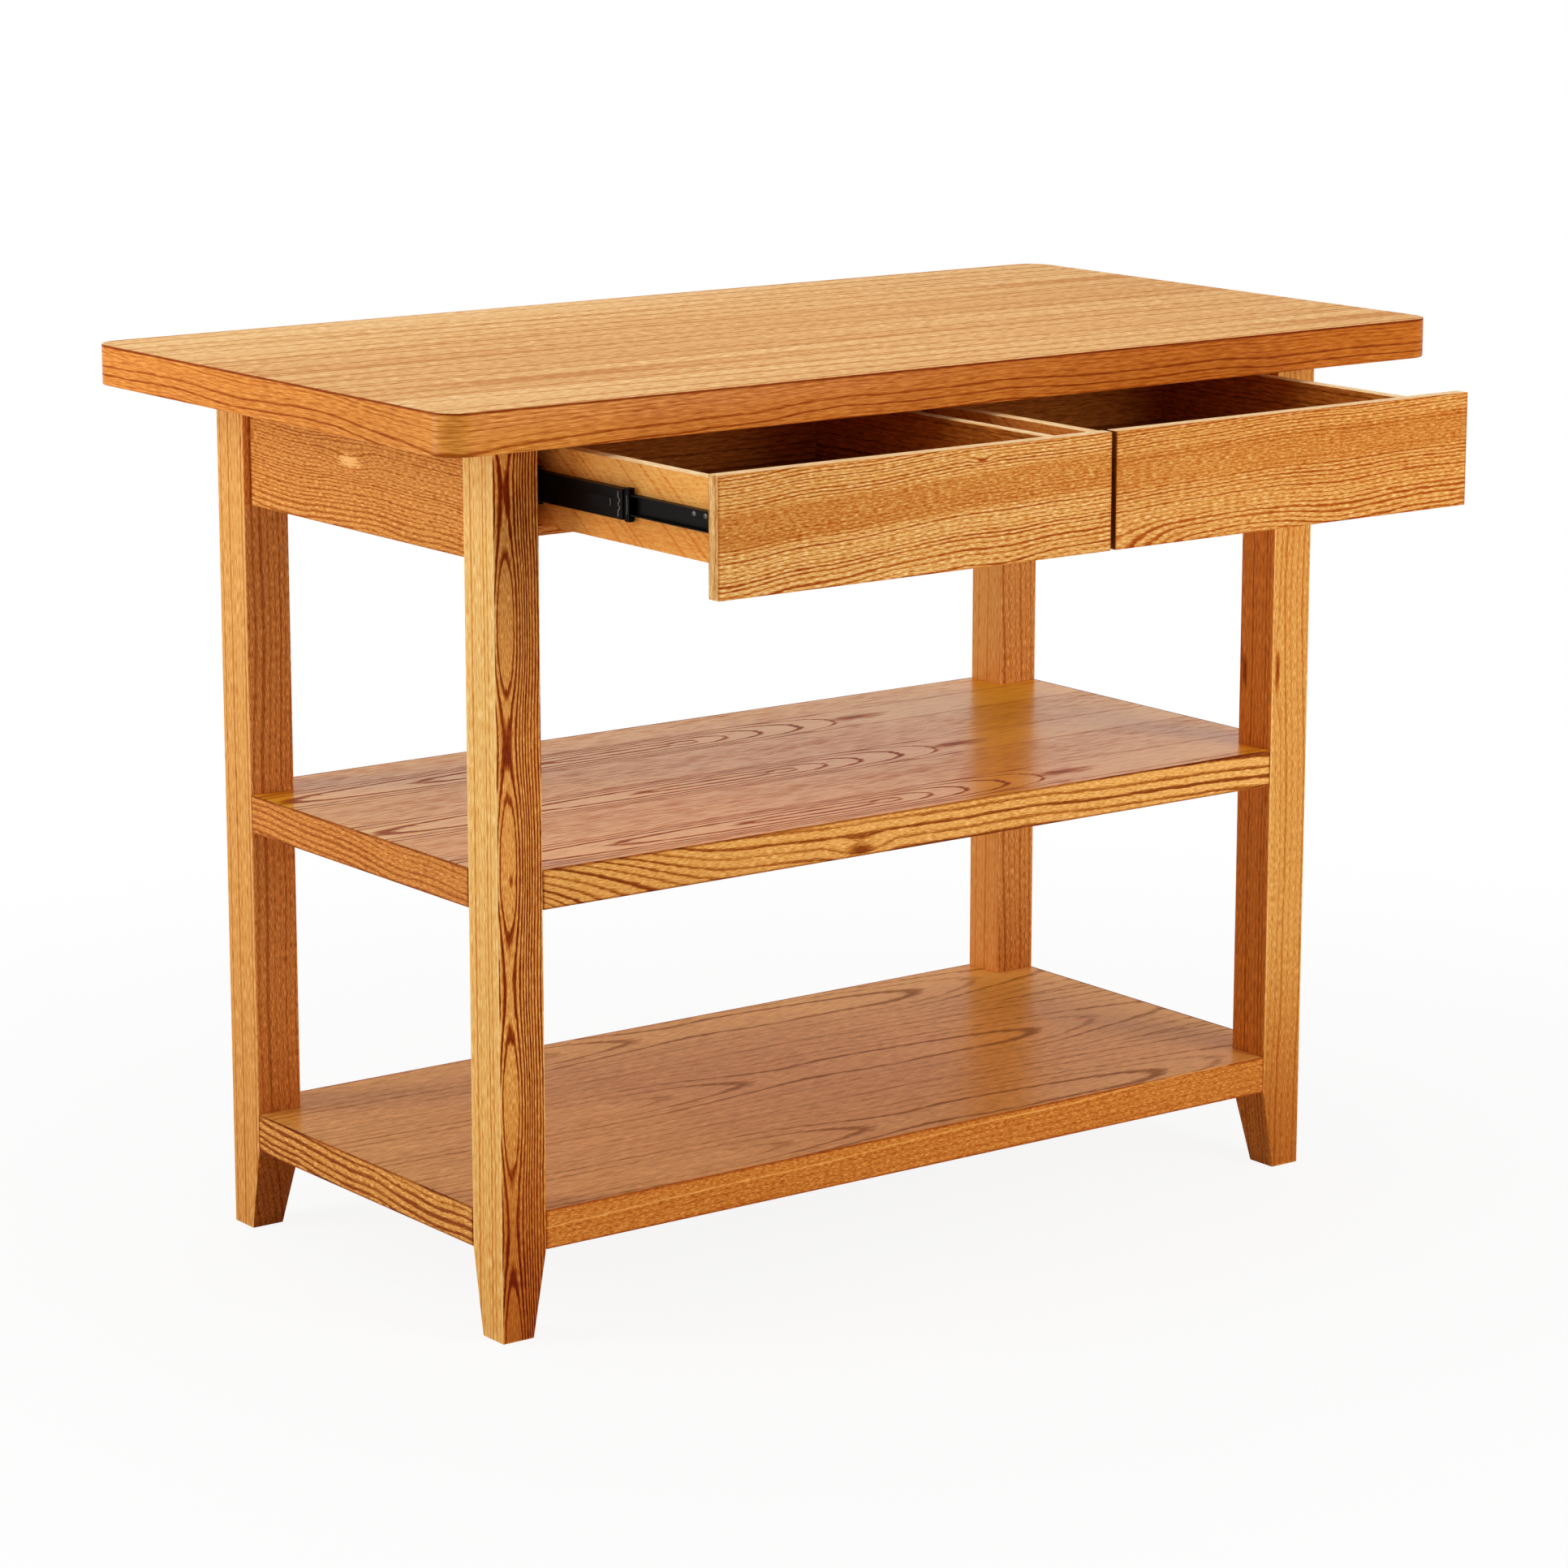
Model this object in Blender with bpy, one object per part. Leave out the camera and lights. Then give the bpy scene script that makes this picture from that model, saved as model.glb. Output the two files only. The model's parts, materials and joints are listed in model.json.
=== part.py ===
"""Kitchen island: a thick overhanging top on four legs, two open shelves and two drawers side by side.

Metres, +Z up. +X runs along the island, the drawers open towards -Y and the feet stand on Z = 0.
The origin is under the middle of the whole island, with its drawers pulled out as they are here.
"""
import math

import bmesh
import bpy

# Clearances
SEAT = 0.0003                 # between two pieces that touch
FRONT_SIDE_GAP = 0.003        # drawer front to leg
FRONT_MIDDLE_GAP = 0.006      # between the two drawer fronts
FRONT_TOP_GAP = 0.003         # drawer front to the underside of the top
BOX_TOP_GAP = 0.012           # drawer box to the underside of the top
RAIL_GAP = 0.0015             # drawer box to the rail below it
BACK_CLEARANCE = 0.041        # drawer box and slides to the back apron
GROOVE_CLEARANCE = 0.0003     # drawer bottom in its grooves
BALL_CLEARANCE = 0.00035      # ball retainer to the slide members beside it

# Worktop
HEIGHT = 0.900
TOP_THICKNESS = 0.040
TOP_END_OVERHANG = 0.096
TOP_SIDE_OVERHANG = 0.0745
TOP_CORNER_RADIUS = 0.028
CORNER_SEGMENTS = 10

# Frame
FRAME_LENGTH = 1.010
FRAME_DEPTH = 0.494
LEG_WIDTH = 0.050
FOOT_TAPER = 0.015
APRON_HEIGHT = 0.116
APRON_THICKNESS = 0.020
APRON_RECESS = 0.008
RAIL_THICKNESS = 0.010
RAIL_WIDTH = 0.060
RAIL_SETBACK = 0.0375
DIVIDER_THICKNESS = 0.015
SLIDE_PANEL_THICKNESS = 0.0115

# Shelves
LOWER_SHELF_TOP = 0.123
MIDDLE_SHELF_TOP = 0.453
SHELF_THICKNESS = 0.038
EDGE_BAND = 0.0015

# Drawers
FRONT_HEIGHT = 0.111
FRONT_THICKNESS = 0.015
BOX_HEIGHT = 0.076
BOX_SIDE = 0.014
BOX_BACK = 0.014
BOTTOM_THICKNESS = 0.006
BOTTOM_RAISE = 0.008
GROOVE_DEPTH = 0.006
OPENING = 0.276               # how far both drawers are pulled out here

# Ball-bearing slides, three telescoping members each
SLIDE_SPACE = 0.0127
STEEL = 0.0012
CABINET_MEMBER_HEIGHT = 0.035
MIDDLE_MEMBER_HEIGHT = 0.028
DRAWER_MEMBER_HEIGHT = 0.019
CABINET_FLANGE = 0.0100
MIDDLE_FLANGE = 0.0084
DRAWER_FLANGE = 0.0069
RETAINER_STEEL = 0.0006
RETAINER_MARGIN = 0.005
WEB_GAP = 0.0004
SLIDE_SETBACK = 0.010
STOP_PROTRUSION = 0.008
STOP_SEAT = 0.004

# Share of the drawer's travel that each moving slide piece makes
MIDDLE_SHARE = 0.50
OUTER_RETAINER_SHARE = 0.25
INNER_RETAINER_SHARE = 0.75

# Finishes: colour, roughness, metallic
TOP_WOOD = ((0.62, 0.33, 0.12), 0.42, 0.0)
FRAME_WOOD = ((0.56, 0.26, 0.08), 0.45, 0.0)
SHELF_WOOD = ((0.53, 0.27, 0.12), 0.38, 0.0)
FRONT_WOOD = ((0.56, 0.28, 0.09), 0.45, 0.0)
BOX_WOOD = ((0.50, 0.24, 0.08), 0.55, 0.0)
SLIDE_STEEL = ((0.012, 0.011, 0.010), 0.35, 0.8)
RETAINER_METAL = ((0.30, 0.30, 0.31), 0.40, 0.9)
STOP_PLASTIC = ((0.015, 0.015, 0.016), 0.50, 0.0)

# Levels and faces that several pieces share
UNDERSIDE = HEIGHT - TOP_THICKNESS
HALF_LENGTH = FRAME_LENGTH / 2
HALF_DEPTH = FRAME_DEPTH / 2
LEG_INNER_X = HALF_LENGTH - LEG_WIDTH
LEG_INNER_Y = HALF_DEPTH - LEG_WIDTH
FOOT_TOP = LOWER_SHELF_TOP - SHELF_THICKNESS
APRON_BOTTOM = UNDERSIDE - APRON_HEIGHT
BACK_APRON_FACE = HALF_DEPTH - APRON_RECESS - APRON_THICKNESS
FRONT_FACE = -HALF_DEPTH
FRONT_BACK = FRONT_FACE + FRONT_THICKNESS
FRONT_TOP = UNDERSIDE - FRONT_TOP_GAP
BOX_TOP = UNDERSIDE - BOX_TOP_GAP
BOX_BOTTOM = BOX_TOP - BOX_HEIGHT
BOX_END = BACK_APRON_FACE - BACK_CLEARANCE
RAIL_TOP = BOX_BOTTOM - RAIL_GAP
RAIL_FRONT = FRONT_FACE + RAIL_SETBACK
SLIDE_FRONT = FRONT_BACK + SLIDE_SETBACK
SLIDE_TRAVEL = BOX_END - SLIDE_FRONT
SLIDE_LEVEL = (BOX_BOTTOM + BOX_TOP) / 2
SLIDE_PANEL_FACE = LEG_INNER_X - SEAT - SLIDE_PANEL_THICKNESS
DIVIDER_FACE = DIVIDER_THICKNESS / 2
BOX_OUTER = SLIDE_PANEL_FACE - SLIDE_SPACE
BOX_INNER = DIVIDER_FACE + SLIDE_SPACE

# The frame's centre stands behind the origin, by half of what the open drawers reach past the top
FRAME_Y = (max(OPENING, TOP_SIDE_OVERHANG) - TOP_SIDE_OVERHANG) / 2


def clear_scene():
    for existing in list(bpy.data.objects):
        bpy.data.objects.remove(existing, do_unlink=True)


def finish(name, look):
    """A plain material for one piece."""
    colour, roughness, metallic = look
    material = bpy.data.materials.new(name)
    material.use_nodes = True
    shader = material.node_tree.nodes["Principled BSDF"]
    shader.inputs["Base Color"].default_value = (*colour, 1.0)
    shader.inputs["Roughness"].default_value = roughness
    shader.inputs["Metallic"].default_value = metallic
    return material


def empty(name, position, parent=None):
    """A guide that pieces hang from."""
    guide = bpy.data.objects.new(name, None)
    guide.location = position
    guide.parent = parent
    ISLAND.objects.link(guide)
    return guide


def place(name, data, centre, look, carrier):
    """Puts a piece at its place in the closed island, hung from its carrier."""
    piece = bpy.data.objects.new(name, data)
    piece.data.materials.append(finish(name, look))
    piece.parent = carrier
    piece.location = [c - h for c, h in zip(centre, HOME[carrier.name])]
    ISLAND.objects.link(piece)
    return piece


def cube_mesh(name, size):
    mesh = bpy.data.meshes.new(name)
    shape = bmesh.new()
    bmesh.ops.create_cube(shape, size=1.0)
    bmesh.ops.scale(shape, vec=size, verts=shape.verts)
    shape.to_mesh(mesh)
    shape.free()
    return mesh


def board(name, low, high, look, carrier):
    """A straight board between two opposite corners."""
    size = [h - l for l, h in zip(low, high)]
    centre = [(l + h) / 2 for l, h in zip(low, high)]
    return place(name, cube_mesh(name, size), centre, look, carrier)


def outline_curve(name, points, thickness):
    """A flat outline, thickened to both sides of its plane."""
    curve = bpy.data.curves.new(name, "CURVE")
    curve.dimensions = "2D"
    curve.fill_mode = "BOTH"
    curve.extrude = thickness / 2
    spline = curve.splines.new("POLY")
    spline.points.add(len(points) - 1)
    for point, (x, y) in zip(spline.points, points):
        point.co = (x, y, 0.0, 1.0)
    spline.use_cyclic_u = True
    return curve


def lengthwise(name, section, front, back, centre_x, level, look, carrier):
    """A bar of one X-Z section that runs from front to back along Y."""
    bar = place(name, outline_curve(name, section, back - front),
                (centre_x, (front + back) / 2, level), look, carrier)
    bar.rotation_euler = (math.pi / 2, 0.0, 0.0)
    return bar


def worktop():
    """The top slab, with its four upright corners rounded."""
    size = (FRAME_LENGTH + 2 * TOP_END_OVERHANG, FRAME_DEPTH + 2 * TOP_SIDE_OVERHANG, TOP_THICKNESS)
    mesh = cube_mesh("top_slab", size)
    shape = bmesh.new()
    shape.from_mesh(mesh)
    upright = [e for e in shape.edges if abs(e.verts[0].co.z - e.verts[1].co.z) > TOP_THICKNESS / 2]
    bmesh.ops.bevel(shape, geom=upright, offset=TOP_CORNER_RADIUS, segments=CORNER_SEGMENTS,
                    profile=0.5, affect="EDGES")
    shape.to_mesh(mesh)
    shape.free()
    mesh.shade_smooth()
    mesh.set_sharp_from_angle(angle=math.radians(30))
    place("top_slab", mesh, (0.0, 0.0, UNDERSIDE + TOP_THICKNESS / 2), TOP_WOOD, ROOT)


def leg(name, side_x, side_y):
    """A square leg whose two inner faces draw in towards the floor, below the lower shelf."""
    height = UNDERSIDE - SEAT
    mesh = cube_mesh(name, (LEG_WIDTH, LEG_WIDTH, height))
    shape = bmesh.new()
    shape.from_mesh(mesh)
    knee = FOOT_TOP - height / 2
    bmesh.ops.bisect_plane(shape, geom=shape.verts[:] + shape.edges[:] + shape.faces[:],
                           plane_co=(0.0, 0.0, knee), plane_no=(0.0, 0.0, 1.0))
    for vert in shape.verts:
        if vert.co.z < knee - SEAT:
            if vert.co.x * side_x < 0:
                vert.co.x += side_x * FOOT_TAPER
            if vert.co.y * side_y < 0:
                vert.co.y += side_y * FOOT_TAPER
    shape.to_mesh(mesh)
    shape.free()
    centre = (side_x * (HALF_LENGTH - LEG_WIDTH / 2), side_y * (HALF_DEPTH - LEG_WIDTH / 2), height / 2)
    place(name, mesh, centre, FRAME_WOOD, ROOT)


def shelf(name, top):
    """A panel notched round the legs, with a thin band on each edge, flush with the legs."""
    bottom = top - SHELF_THICKNESS
    edge_x = HALF_LENGTH - EDGE_BAND - SEAT
    edge_y = HALF_DEPTH - EDGE_BAND - SEAT
    notch_x = LEG_INNER_X - SEAT
    notch_y = LEG_INNER_Y - SEAT
    quarter = [(notch_x, edge_y), (notch_x, notch_y), (edge_x, notch_y)]
    corners = quarter[::-1]
    corners += [(-x, y) for x, y in quarter]
    corners += [(-x, -y) for x, y in quarter[::-1]]
    corners += [(x, -y) for x, y in quarter]
    place(f"{name}_panel", outline_curve(f"{name}_panel", corners, SHELF_THICKNESS),
          (0.0, 0.0, (top + bottom) / 2), SHELF_WOOD, ROOT)
    for label, side in (("front", -1), ("back", 1)):
        faces = sorted((side * HALF_DEPTH, side * (HALF_DEPTH - EDGE_BAND)))
        board(f"{name}_{label}_edge", (-notch_x, faces[0], bottom), (notch_x, faces[1], top), FRONT_WOOD, ROOT)
    for label, side in (("left", -1), ("right", 1)):
        faces = sorted((side * HALF_LENGTH, side * (HALF_LENGTH - EDGE_BAND)))
        board(f"{name}_{label}_edge", (faces[0], -notch_y, bottom), (faces[1], notch_y, top), FRONT_WOOD, ROOT)


def frame_boards():
    """Aprons under the top, the rail under the drawers and the boards that carry the slides."""
    high = UNDERSIDE - SEAT
    for label, side in (("left", -1), ("right", 1)):
        outer = side * (HALF_LENGTH - APRON_RECESS)
        faces = sorted((outer, outer - side * APRON_THICKNESS))
        board(f"{label}_apron", (faces[0], -LEG_INNER_Y + SEAT, APRON_BOTTOM),
              (faces[1], LEG_INNER_Y - SEAT, high), FRAME_WOOD, ROOT)
        faces = sorted((side * (LEG_INNER_X - SEAT), side * SLIDE_PANEL_FACE))
        board(f"{label}_slide_panel", (faces[0], FRONT_BACK + SLIDE_SETBACK / 2, RAIL_TOP + SEAT),
              (faces[1], BACK_APRON_FACE - SEAT, high), BOX_WOOD, ROOT)
    board("back_apron", (-LEG_INNER_X + SEAT, BACK_APRON_FACE, APRON_BOTTOM),
          (LEG_INNER_X - SEAT, BACK_APRON_FACE + APRON_THICKNESS, high), FRAME_WOOD, ROOT)
    board("front_rail", (-LEG_INNER_X + SEAT, RAIL_FRONT, RAIL_TOP - RAIL_THICKNESS),
          (LEG_INNER_X - SEAT, RAIL_FRONT + RAIL_WIDTH, RAIL_TOP), FRAME_WOOD, ROOT)
    board("drawer_divider", (-DIVIDER_FACE, FRONT_BACK + SLIDE_SETBACK / 2, RAIL_TOP + SEAT),
          (DIVIDER_FACE, BACK_APRON_FACE - SEAT, high), BOX_WOOD, ROOT)


def drawer(label, side, carrier):
    """A handleless front that hangs below its box, two grooved sides, a back and a bottom."""
    ends = sorted((side * FRONT_MIDDLE_GAP / 2, side * (LEG_INNER_X - FRONT_SIDE_GAP)))
    board(f"{label}_drawer_front", (ends[0], FRONT_FACE, FRONT_TOP - FRONT_HEIGHT),
          (ends[1], FRONT_BACK, FRONT_TOP), FRONT_WOOD, carrier)
    low_x, high_x = sorted((side * BOX_INNER, side * BOX_OUTER))
    box_front = FRONT_BACK + SEAT
    floor = BOX_BOTTOM + BOTTOM_RAISE
    for hand, outer, inward in (("left", low_x, 1), ("right", high_x, -1)):
        section = grooved_section(inward, floor - SLIDE_LEVEL)
        lengthwise(f"{label}_drawer_{hand}_side", section, box_front, BOX_END,
                   outer + inward * BOX_SIDE / 2, SLIDE_LEVEL, BOX_WOOD, carrier)
    inner_low = low_x + BOX_SIDE
    inner_high = high_x - BOX_SIDE
    board(f"{label}_drawer_back", (inner_low + SEAT, BOX_END - BOX_BACK, floor + BOTTOM_THICKNESS + SEAT),
          (inner_high - SEAT, BOX_END, BOX_TOP), BOX_WOOD, carrier)
    reach = GROOVE_DEPTH - GROOVE_CLEARANCE
    board(f"{label}_drawer_bottom", (inner_low - reach, box_front, floor),
          (inner_high + reach, BOX_END, floor + BOTTOM_THICKNESS), BOX_WOOD, carrier)


def grooved_section(inward, floor):
    """A drawer side's section about its own middle, with the groove that holds the bottom."""
    outer = -inward * BOX_SIDE / 2
    inner = inward * BOX_SIDE / 2
    root = inner - inward * GROOVE_DEPTH
    groove_low = floor - GROOVE_CLEARANCE
    groove_high = floor + BOTTOM_THICKNESS + GROOVE_CLEARANCE
    half = BOX_HEIGHT / 2
    return [(outer, -half), (inner, -half), (inner, groove_low), (root, groove_low),
            (root, groove_high), (inner, groove_high), (inner, half), (outer, half)]


def channel_section(web, tip, half, wall, flange):
    """A channel on its side: the web's outer face, the flanges' tips, half height and thicknesses."""
    inside = web + math.copysign(wall, tip - web)
    return [(web, -half), (tip, -half), (tip, -half + flange), (inside, -half + flange),
            (inside, half - flange), (tip, half - flange), (tip, half), (web, half)]


def slide(name, face, inward, carriers):
    """A telescoping slide from the face that carries it towards the drawer box."""
    fixed, outer_cage, middle, inner_cage, moving = carriers
    back = SLIDE_FRONT + SLIDE_TRAVEL
    cage_middle = SLIDE_FRONT + SLIDE_TRAVEL / 2
    cage_half = SLIDE_TRAVEL / 4 - RETAINER_MARGIN

    cabinet_web = SEAT
    outer_web = cabinet_web + STEEL + WEB_GAP
    middle_web = outer_web + RETAINER_STEEL + WEB_GAP
    inner_web = middle_web + STEEL + WEB_GAP
    drawer_web = SLIDE_SPACE - SEAT
    cabinet_half = CABINET_MEMBER_HEIGHT / 2
    middle_half = MIDDLE_MEMBER_HEIGHT / 2
    drawer_half = DRAWER_MEMBER_HEIGHT / 2
    outer_half = cabinet_half - STEEL - BALL_CLEARANCE
    inner_half = middle_half - STEEL - BALL_CLEARANCE
    outer_race = outer_half - middle_half - BALL_CLEARANCE
    inner_race = inner_half - drawer_half - BALL_CLEARANCE
    outer_tip = cabinet_web + CABINET_FLANGE - RETAINER_STEEL
    inner_tip = middle_web + MIDDLE_FLANGE - RETAINER_STEEL

    def bar(piece, web, tip, half, wall, flange, front, end, look, carrier):
        section = [(inward * x, z) for x, z in channel_section(web, tip, half, wall, flange)]
        lengthwise(f"{name}_{piece}", section, front, end, face, SLIDE_LEVEL, look, carrier)

    bar("cabinet_member", cabinet_web, cabinet_web + CABINET_FLANGE, cabinet_half, STEEL, STEEL,
        SLIDE_FRONT, back, SLIDE_STEEL, fixed)
    bar("outer_ball_retainer", outer_web, outer_tip, outer_half, RETAINER_STEEL, outer_race,
        cage_middle - cage_half, cage_middle + cage_half, RETAINER_METAL, outer_cage)
    bar("middle_member", middle_web, middle_web + MIDDLE_FLANGE, middle_half, STEEL, STEEL,
        SLIDE_FRONT, back, SLIDE_STEEL, middle)
    bar("end_stop", inner_web, inner_tip, inner_half, RETAINER_STEEL, inner_race,
        SLIDE_FRONT - STOP_PROTRUSION, SLIDE_FRONT + STOP_SEAT, STOP_PLASTIC, middle)
    bar("inner_ball_retainer", inner_web, inner_tip, inner_half, RETAINER_STEEL, inner_race,
        cage_middle - cage_half, cage_middle + cage_half, RETAINER_METAL, inner_cage)
    bar("drawer_member", drawer_web, drawer_web - DRAWER_FLANGE, drawer_half, STEEL, STEEL,
        FRONT_BACK + SEAT, back, SLIDE_STEEL, moving)


def moving_guide(name, centre_x, share):
    """A guide on a slide's line, drawn forward by its share of the drawers' opening."""
    HOME[name] = (centre_x, FRONT_FACE, SLIDE_LEVEL)
    return empty(name, (centre_x, FRONT_FACE - share * OPENING, SLIDE_LEVEL), ROOT)


def drawer_unit(label, side):
    """One drawer with its two slides, each piece hung from the guide that it moves with."""
    centre_x = side * (BOX_INNER + BOX_OUTER) / 2
    moving = moving_guide(f"{label}_drawer_line", centre_x, 1.0)
    inner_cage = moving_guide(f"{label}_inner_retainer_line", centre_x, INNER_RETAINER_SHARE)
    middle = moving_guide(f"{label}_middle_line", centre_x, MIDDLE_SHARE)
    outer_cage = moving_guide(f"{label}_outer_retainer_line", centre_x, OUTER_RETAINER_SHARE)
    carriers = (ROOT, outer_cage, middle, inner_cage, moving)
    drawer(label, side, moving)
    low_face, high_face = sorted((side * DIVIDER_FACE, side * SLIDE_PANEL_FACE))
    slide(f"{label}_drawer_left_slide", low_face, 1, carriers)
    slide(f"{label}_drawer_right_slide", high_face, -1, carriers)


clear_scene()
ISLAND = bpy.data.collections.new("kitchen_island")
bpy.context.scene.collection.children.link(ISLAND)
HOME = {"island": (0.0, 0.0, 0.0)}
ROOT = empty("island", (0.0, FRAME_Y, 0.0))

worktop()
for row, side_y in (("front", -1), ("back", 1)):
    for hand, side_x in (("left", -1), ("right", 1)):
        leg(f"{row}_{hand}_leg", side_x, side_y)
shelf("middle_shelf", MIDDLE_SHELF_TOP)
shelf("lower_shelf", LOWER_SHELF_TOP)
frame_boards()
drawer_unit("left", -1)
drawer_unit("right", 1)
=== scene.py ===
"""Looks of the kitchen island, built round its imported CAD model.

Each board is an eased copy of its CAD node, or a core and a veneer for a drawer front, with its own cut
of wood. The slides get fittings, and the scene soft light, a pale floor and a camera at the photo's angle.
"""
import json
import math
from collections import namedtuple

import bmesh
import bpy
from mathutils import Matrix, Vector

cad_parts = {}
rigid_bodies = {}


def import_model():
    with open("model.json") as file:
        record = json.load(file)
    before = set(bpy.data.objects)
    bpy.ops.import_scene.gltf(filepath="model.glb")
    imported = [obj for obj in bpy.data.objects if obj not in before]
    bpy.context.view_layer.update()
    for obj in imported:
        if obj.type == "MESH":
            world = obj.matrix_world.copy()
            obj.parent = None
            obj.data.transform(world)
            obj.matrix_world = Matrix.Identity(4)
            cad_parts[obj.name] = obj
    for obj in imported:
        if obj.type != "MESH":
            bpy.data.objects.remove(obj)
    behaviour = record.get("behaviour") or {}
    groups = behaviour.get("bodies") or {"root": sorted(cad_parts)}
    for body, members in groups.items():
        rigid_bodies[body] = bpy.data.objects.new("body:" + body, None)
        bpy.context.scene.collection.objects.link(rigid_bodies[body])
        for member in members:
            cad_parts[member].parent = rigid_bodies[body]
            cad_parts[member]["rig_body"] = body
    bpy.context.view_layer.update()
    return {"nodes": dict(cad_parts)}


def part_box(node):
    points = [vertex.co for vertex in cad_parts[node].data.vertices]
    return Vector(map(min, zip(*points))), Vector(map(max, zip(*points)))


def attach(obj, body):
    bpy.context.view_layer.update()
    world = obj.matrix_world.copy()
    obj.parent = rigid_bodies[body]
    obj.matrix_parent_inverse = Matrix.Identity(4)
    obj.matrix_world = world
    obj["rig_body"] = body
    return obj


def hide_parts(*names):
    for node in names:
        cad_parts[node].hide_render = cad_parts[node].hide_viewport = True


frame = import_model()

# How a face is laid out: strips of veneer, a speckled stripe, and a shade that changes along the grain
Strips = namedtuple("Strips", "width start slip shade seam")
Stripe = namedtuple("Stripe", "middle slope half_width share")
Grade = namedtuple("Grade", "start end start_shade end_shade")

# Camera, as fitted to the photograph's edges
CAMERA_PLACE = (-2.949, -3.864, 1.507)
CAMERA_YAW = 36.73  # degrees from +Y towards +X
CAMERA_PITCH = 12.26  # degrees below the horizon
CAMERA_LENS = 113.4  # millimetres
CAMERA_SENSOR = 36.0  # millimetres

# Soft lamps, each with its place, what it looks at, its width, its height and its power
SOFTBOXES = {
    "left_softbox": ((-2.3, 0.9, 1.2), (0.0, 0.1, 0.5), 1.0, 2.0, 27.0),
    "front_softbox": ((1.3, -3.0, 1.4), (0.0, 0.0, 0.5), 1.4, 2.0, 50.0),
    "overhead_softbox": ((0.0, 0.1, 3.0), (0.0, 0.1, 0.0), 2.6, 2.2, 33.0),
}

# Floor and surround
FLOOR_SIZE = 60.0
FLOOR_COLOUR = (0.9, 0.9, 0.9, 1.0)
FLOOR_WHITENS = Grade(0.6, 2.0, 0.90, 1.0)  # its share of plain white, by the distance from the middle
SURROUND_COLOUR = (1.0, 1.0, 1.0, 1.0)
SURROUND_LIGHT = 0.28  # strength as a lamp, where 1 is the white that is seen

# Edges and thin layers, in metres
TOP_EASE = 0.0012
LEG_EASE = 0.0010
BOARD_EASE = 0.0006
BAND_EASE = 0.0004
VENEER = 0.0008
VENEER_GAP = 0.0002
SEAM = 0.0012  # from a joint between strips to where its shade ends
ARRIS_REACH = 0.0028  # from an arris to where its shade ends

# Mesh work
WELD = 1e-6
FLAT_ANGLE = math.radians(1.0)
EDGE_ANGLE = math.radians(25.0)
EASE_SEGMENTS = 2
ROUND_PROFILE = 0.5
FACING = 0.7  # a face looks in a direction when their cosine is above this


def srgb(red, green, blue):
    """A colour as a screen shows it, 0 to 255, as the shader takes it."""
    def linear(value):
        share = value / 255
        return share / 12.92 if share < 0.04045 else ((share + 0.055) / 1.055) ** 2.4
    return (linear(red), linear(green), linear(blue), 1.0)


class Graph:
    """Writes shader nodes as expressions: a value is a number, a tuple or another node's output."""

    def __init__(self, tree):
        self.tree = tree

    def node(self, kind, values, output=0, **settings):
        """Adds a node with its inputs and settings, and gives one of its outputs."""
        made = self.tree.nodes.new(kind)
        for name, setting in settings.items():
            setattr(made, name, setting)
        for key, value in values.items():
            if isinstance(value, bpy.types.NodeSocket):
                self.link(value, made.inputs[key])
            else:
                made.inputs[key].default_value = value
        return made.outputs[output]

    def link(self, value, socket):
        self.tree.links.new(value, socket)

    def math(self, operation, first, second=0.0, third=0.0):
        return self.node("ShaderNodeMath", {0: first, 1: second, 2: third}, operation=operation)

    def add(self, first, second):
        return self.math("ADD", first, second)

    def minus(self, first, second):
        return self.math("SUBTRACT", first, second)

    def times(self, first, second):
        return self.math("MULTIPLY", first, second)

    def times_plus(self, first, second, third):
        return self.math("MULTIPLY_ADD", first, second, third)

    def steps(self, value, start, size):
        """The way from a start to a value, in steps of a size."""
        return self.math("DIVIDE", self.minus(value, start), size)

    def hypotenuse(self, first, second):
        return self.math("SQRT", self.add(self.times(first, first), self.times(second, second)))

    def between(self, share, low, high):
        return self.times_plus(share, high - low, low)

    def combine(self, x, y, z):
        return self.node("ShaderNodeCombineXYZ", {0: x, 1: y, 2: z})

    def separate(self, vector):
        made = self.node("ShaderNodeSeparateXYZ", {0: vector}).node
        return tuple(made.outputs)

    def length(self, vector):
        return self.node("ShaderNodeVectorMath", {0: vector}, 1, operation="LENGTH")

    def position(self):
        """The place on the object, in its own directions."""
        return self.node("ShaderNodeTexCoord", {}, "Object")

    def noise(self, place, cells, seed, detail=0.0, output="Fac"):
        """Noise with its own number of cells per metre in each direction."""
        scaled = self.node("ShaderNodeVectorMath", {0: place, 1: cells}, operation="MULTIPLY")
        values = {"Vector": scaled, "W": seed, "Scale": 1.0, "Detail": detail}
        return self.node("ShaderNodeTexNoise", values, output, noise_dimensions="4D")

    def centred(self, noise):
        return self.minus(noise, 0.5)

    def hash(self, value):
        return self.node("ShaderNodeTexWhiteNoise", {"W": value}, noise_dimensions="1D")

    def smooth(self, value, low, high, to_low=0.0, to_high=1.0):
        return self.node("ShaderNodeMapRange", {0: value, 1: low, 2: high, 3: to_low, 4: to_high},
                         interpolation_type="SMOOTHSTEP")

    def mix(self, share, first, second, blend="MIX"):
        return self.node("ShaderNodeMix", {0: share, 6: first, 7: second}, 2,
                         data_type="RGBA", blend_type=blend)


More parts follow.
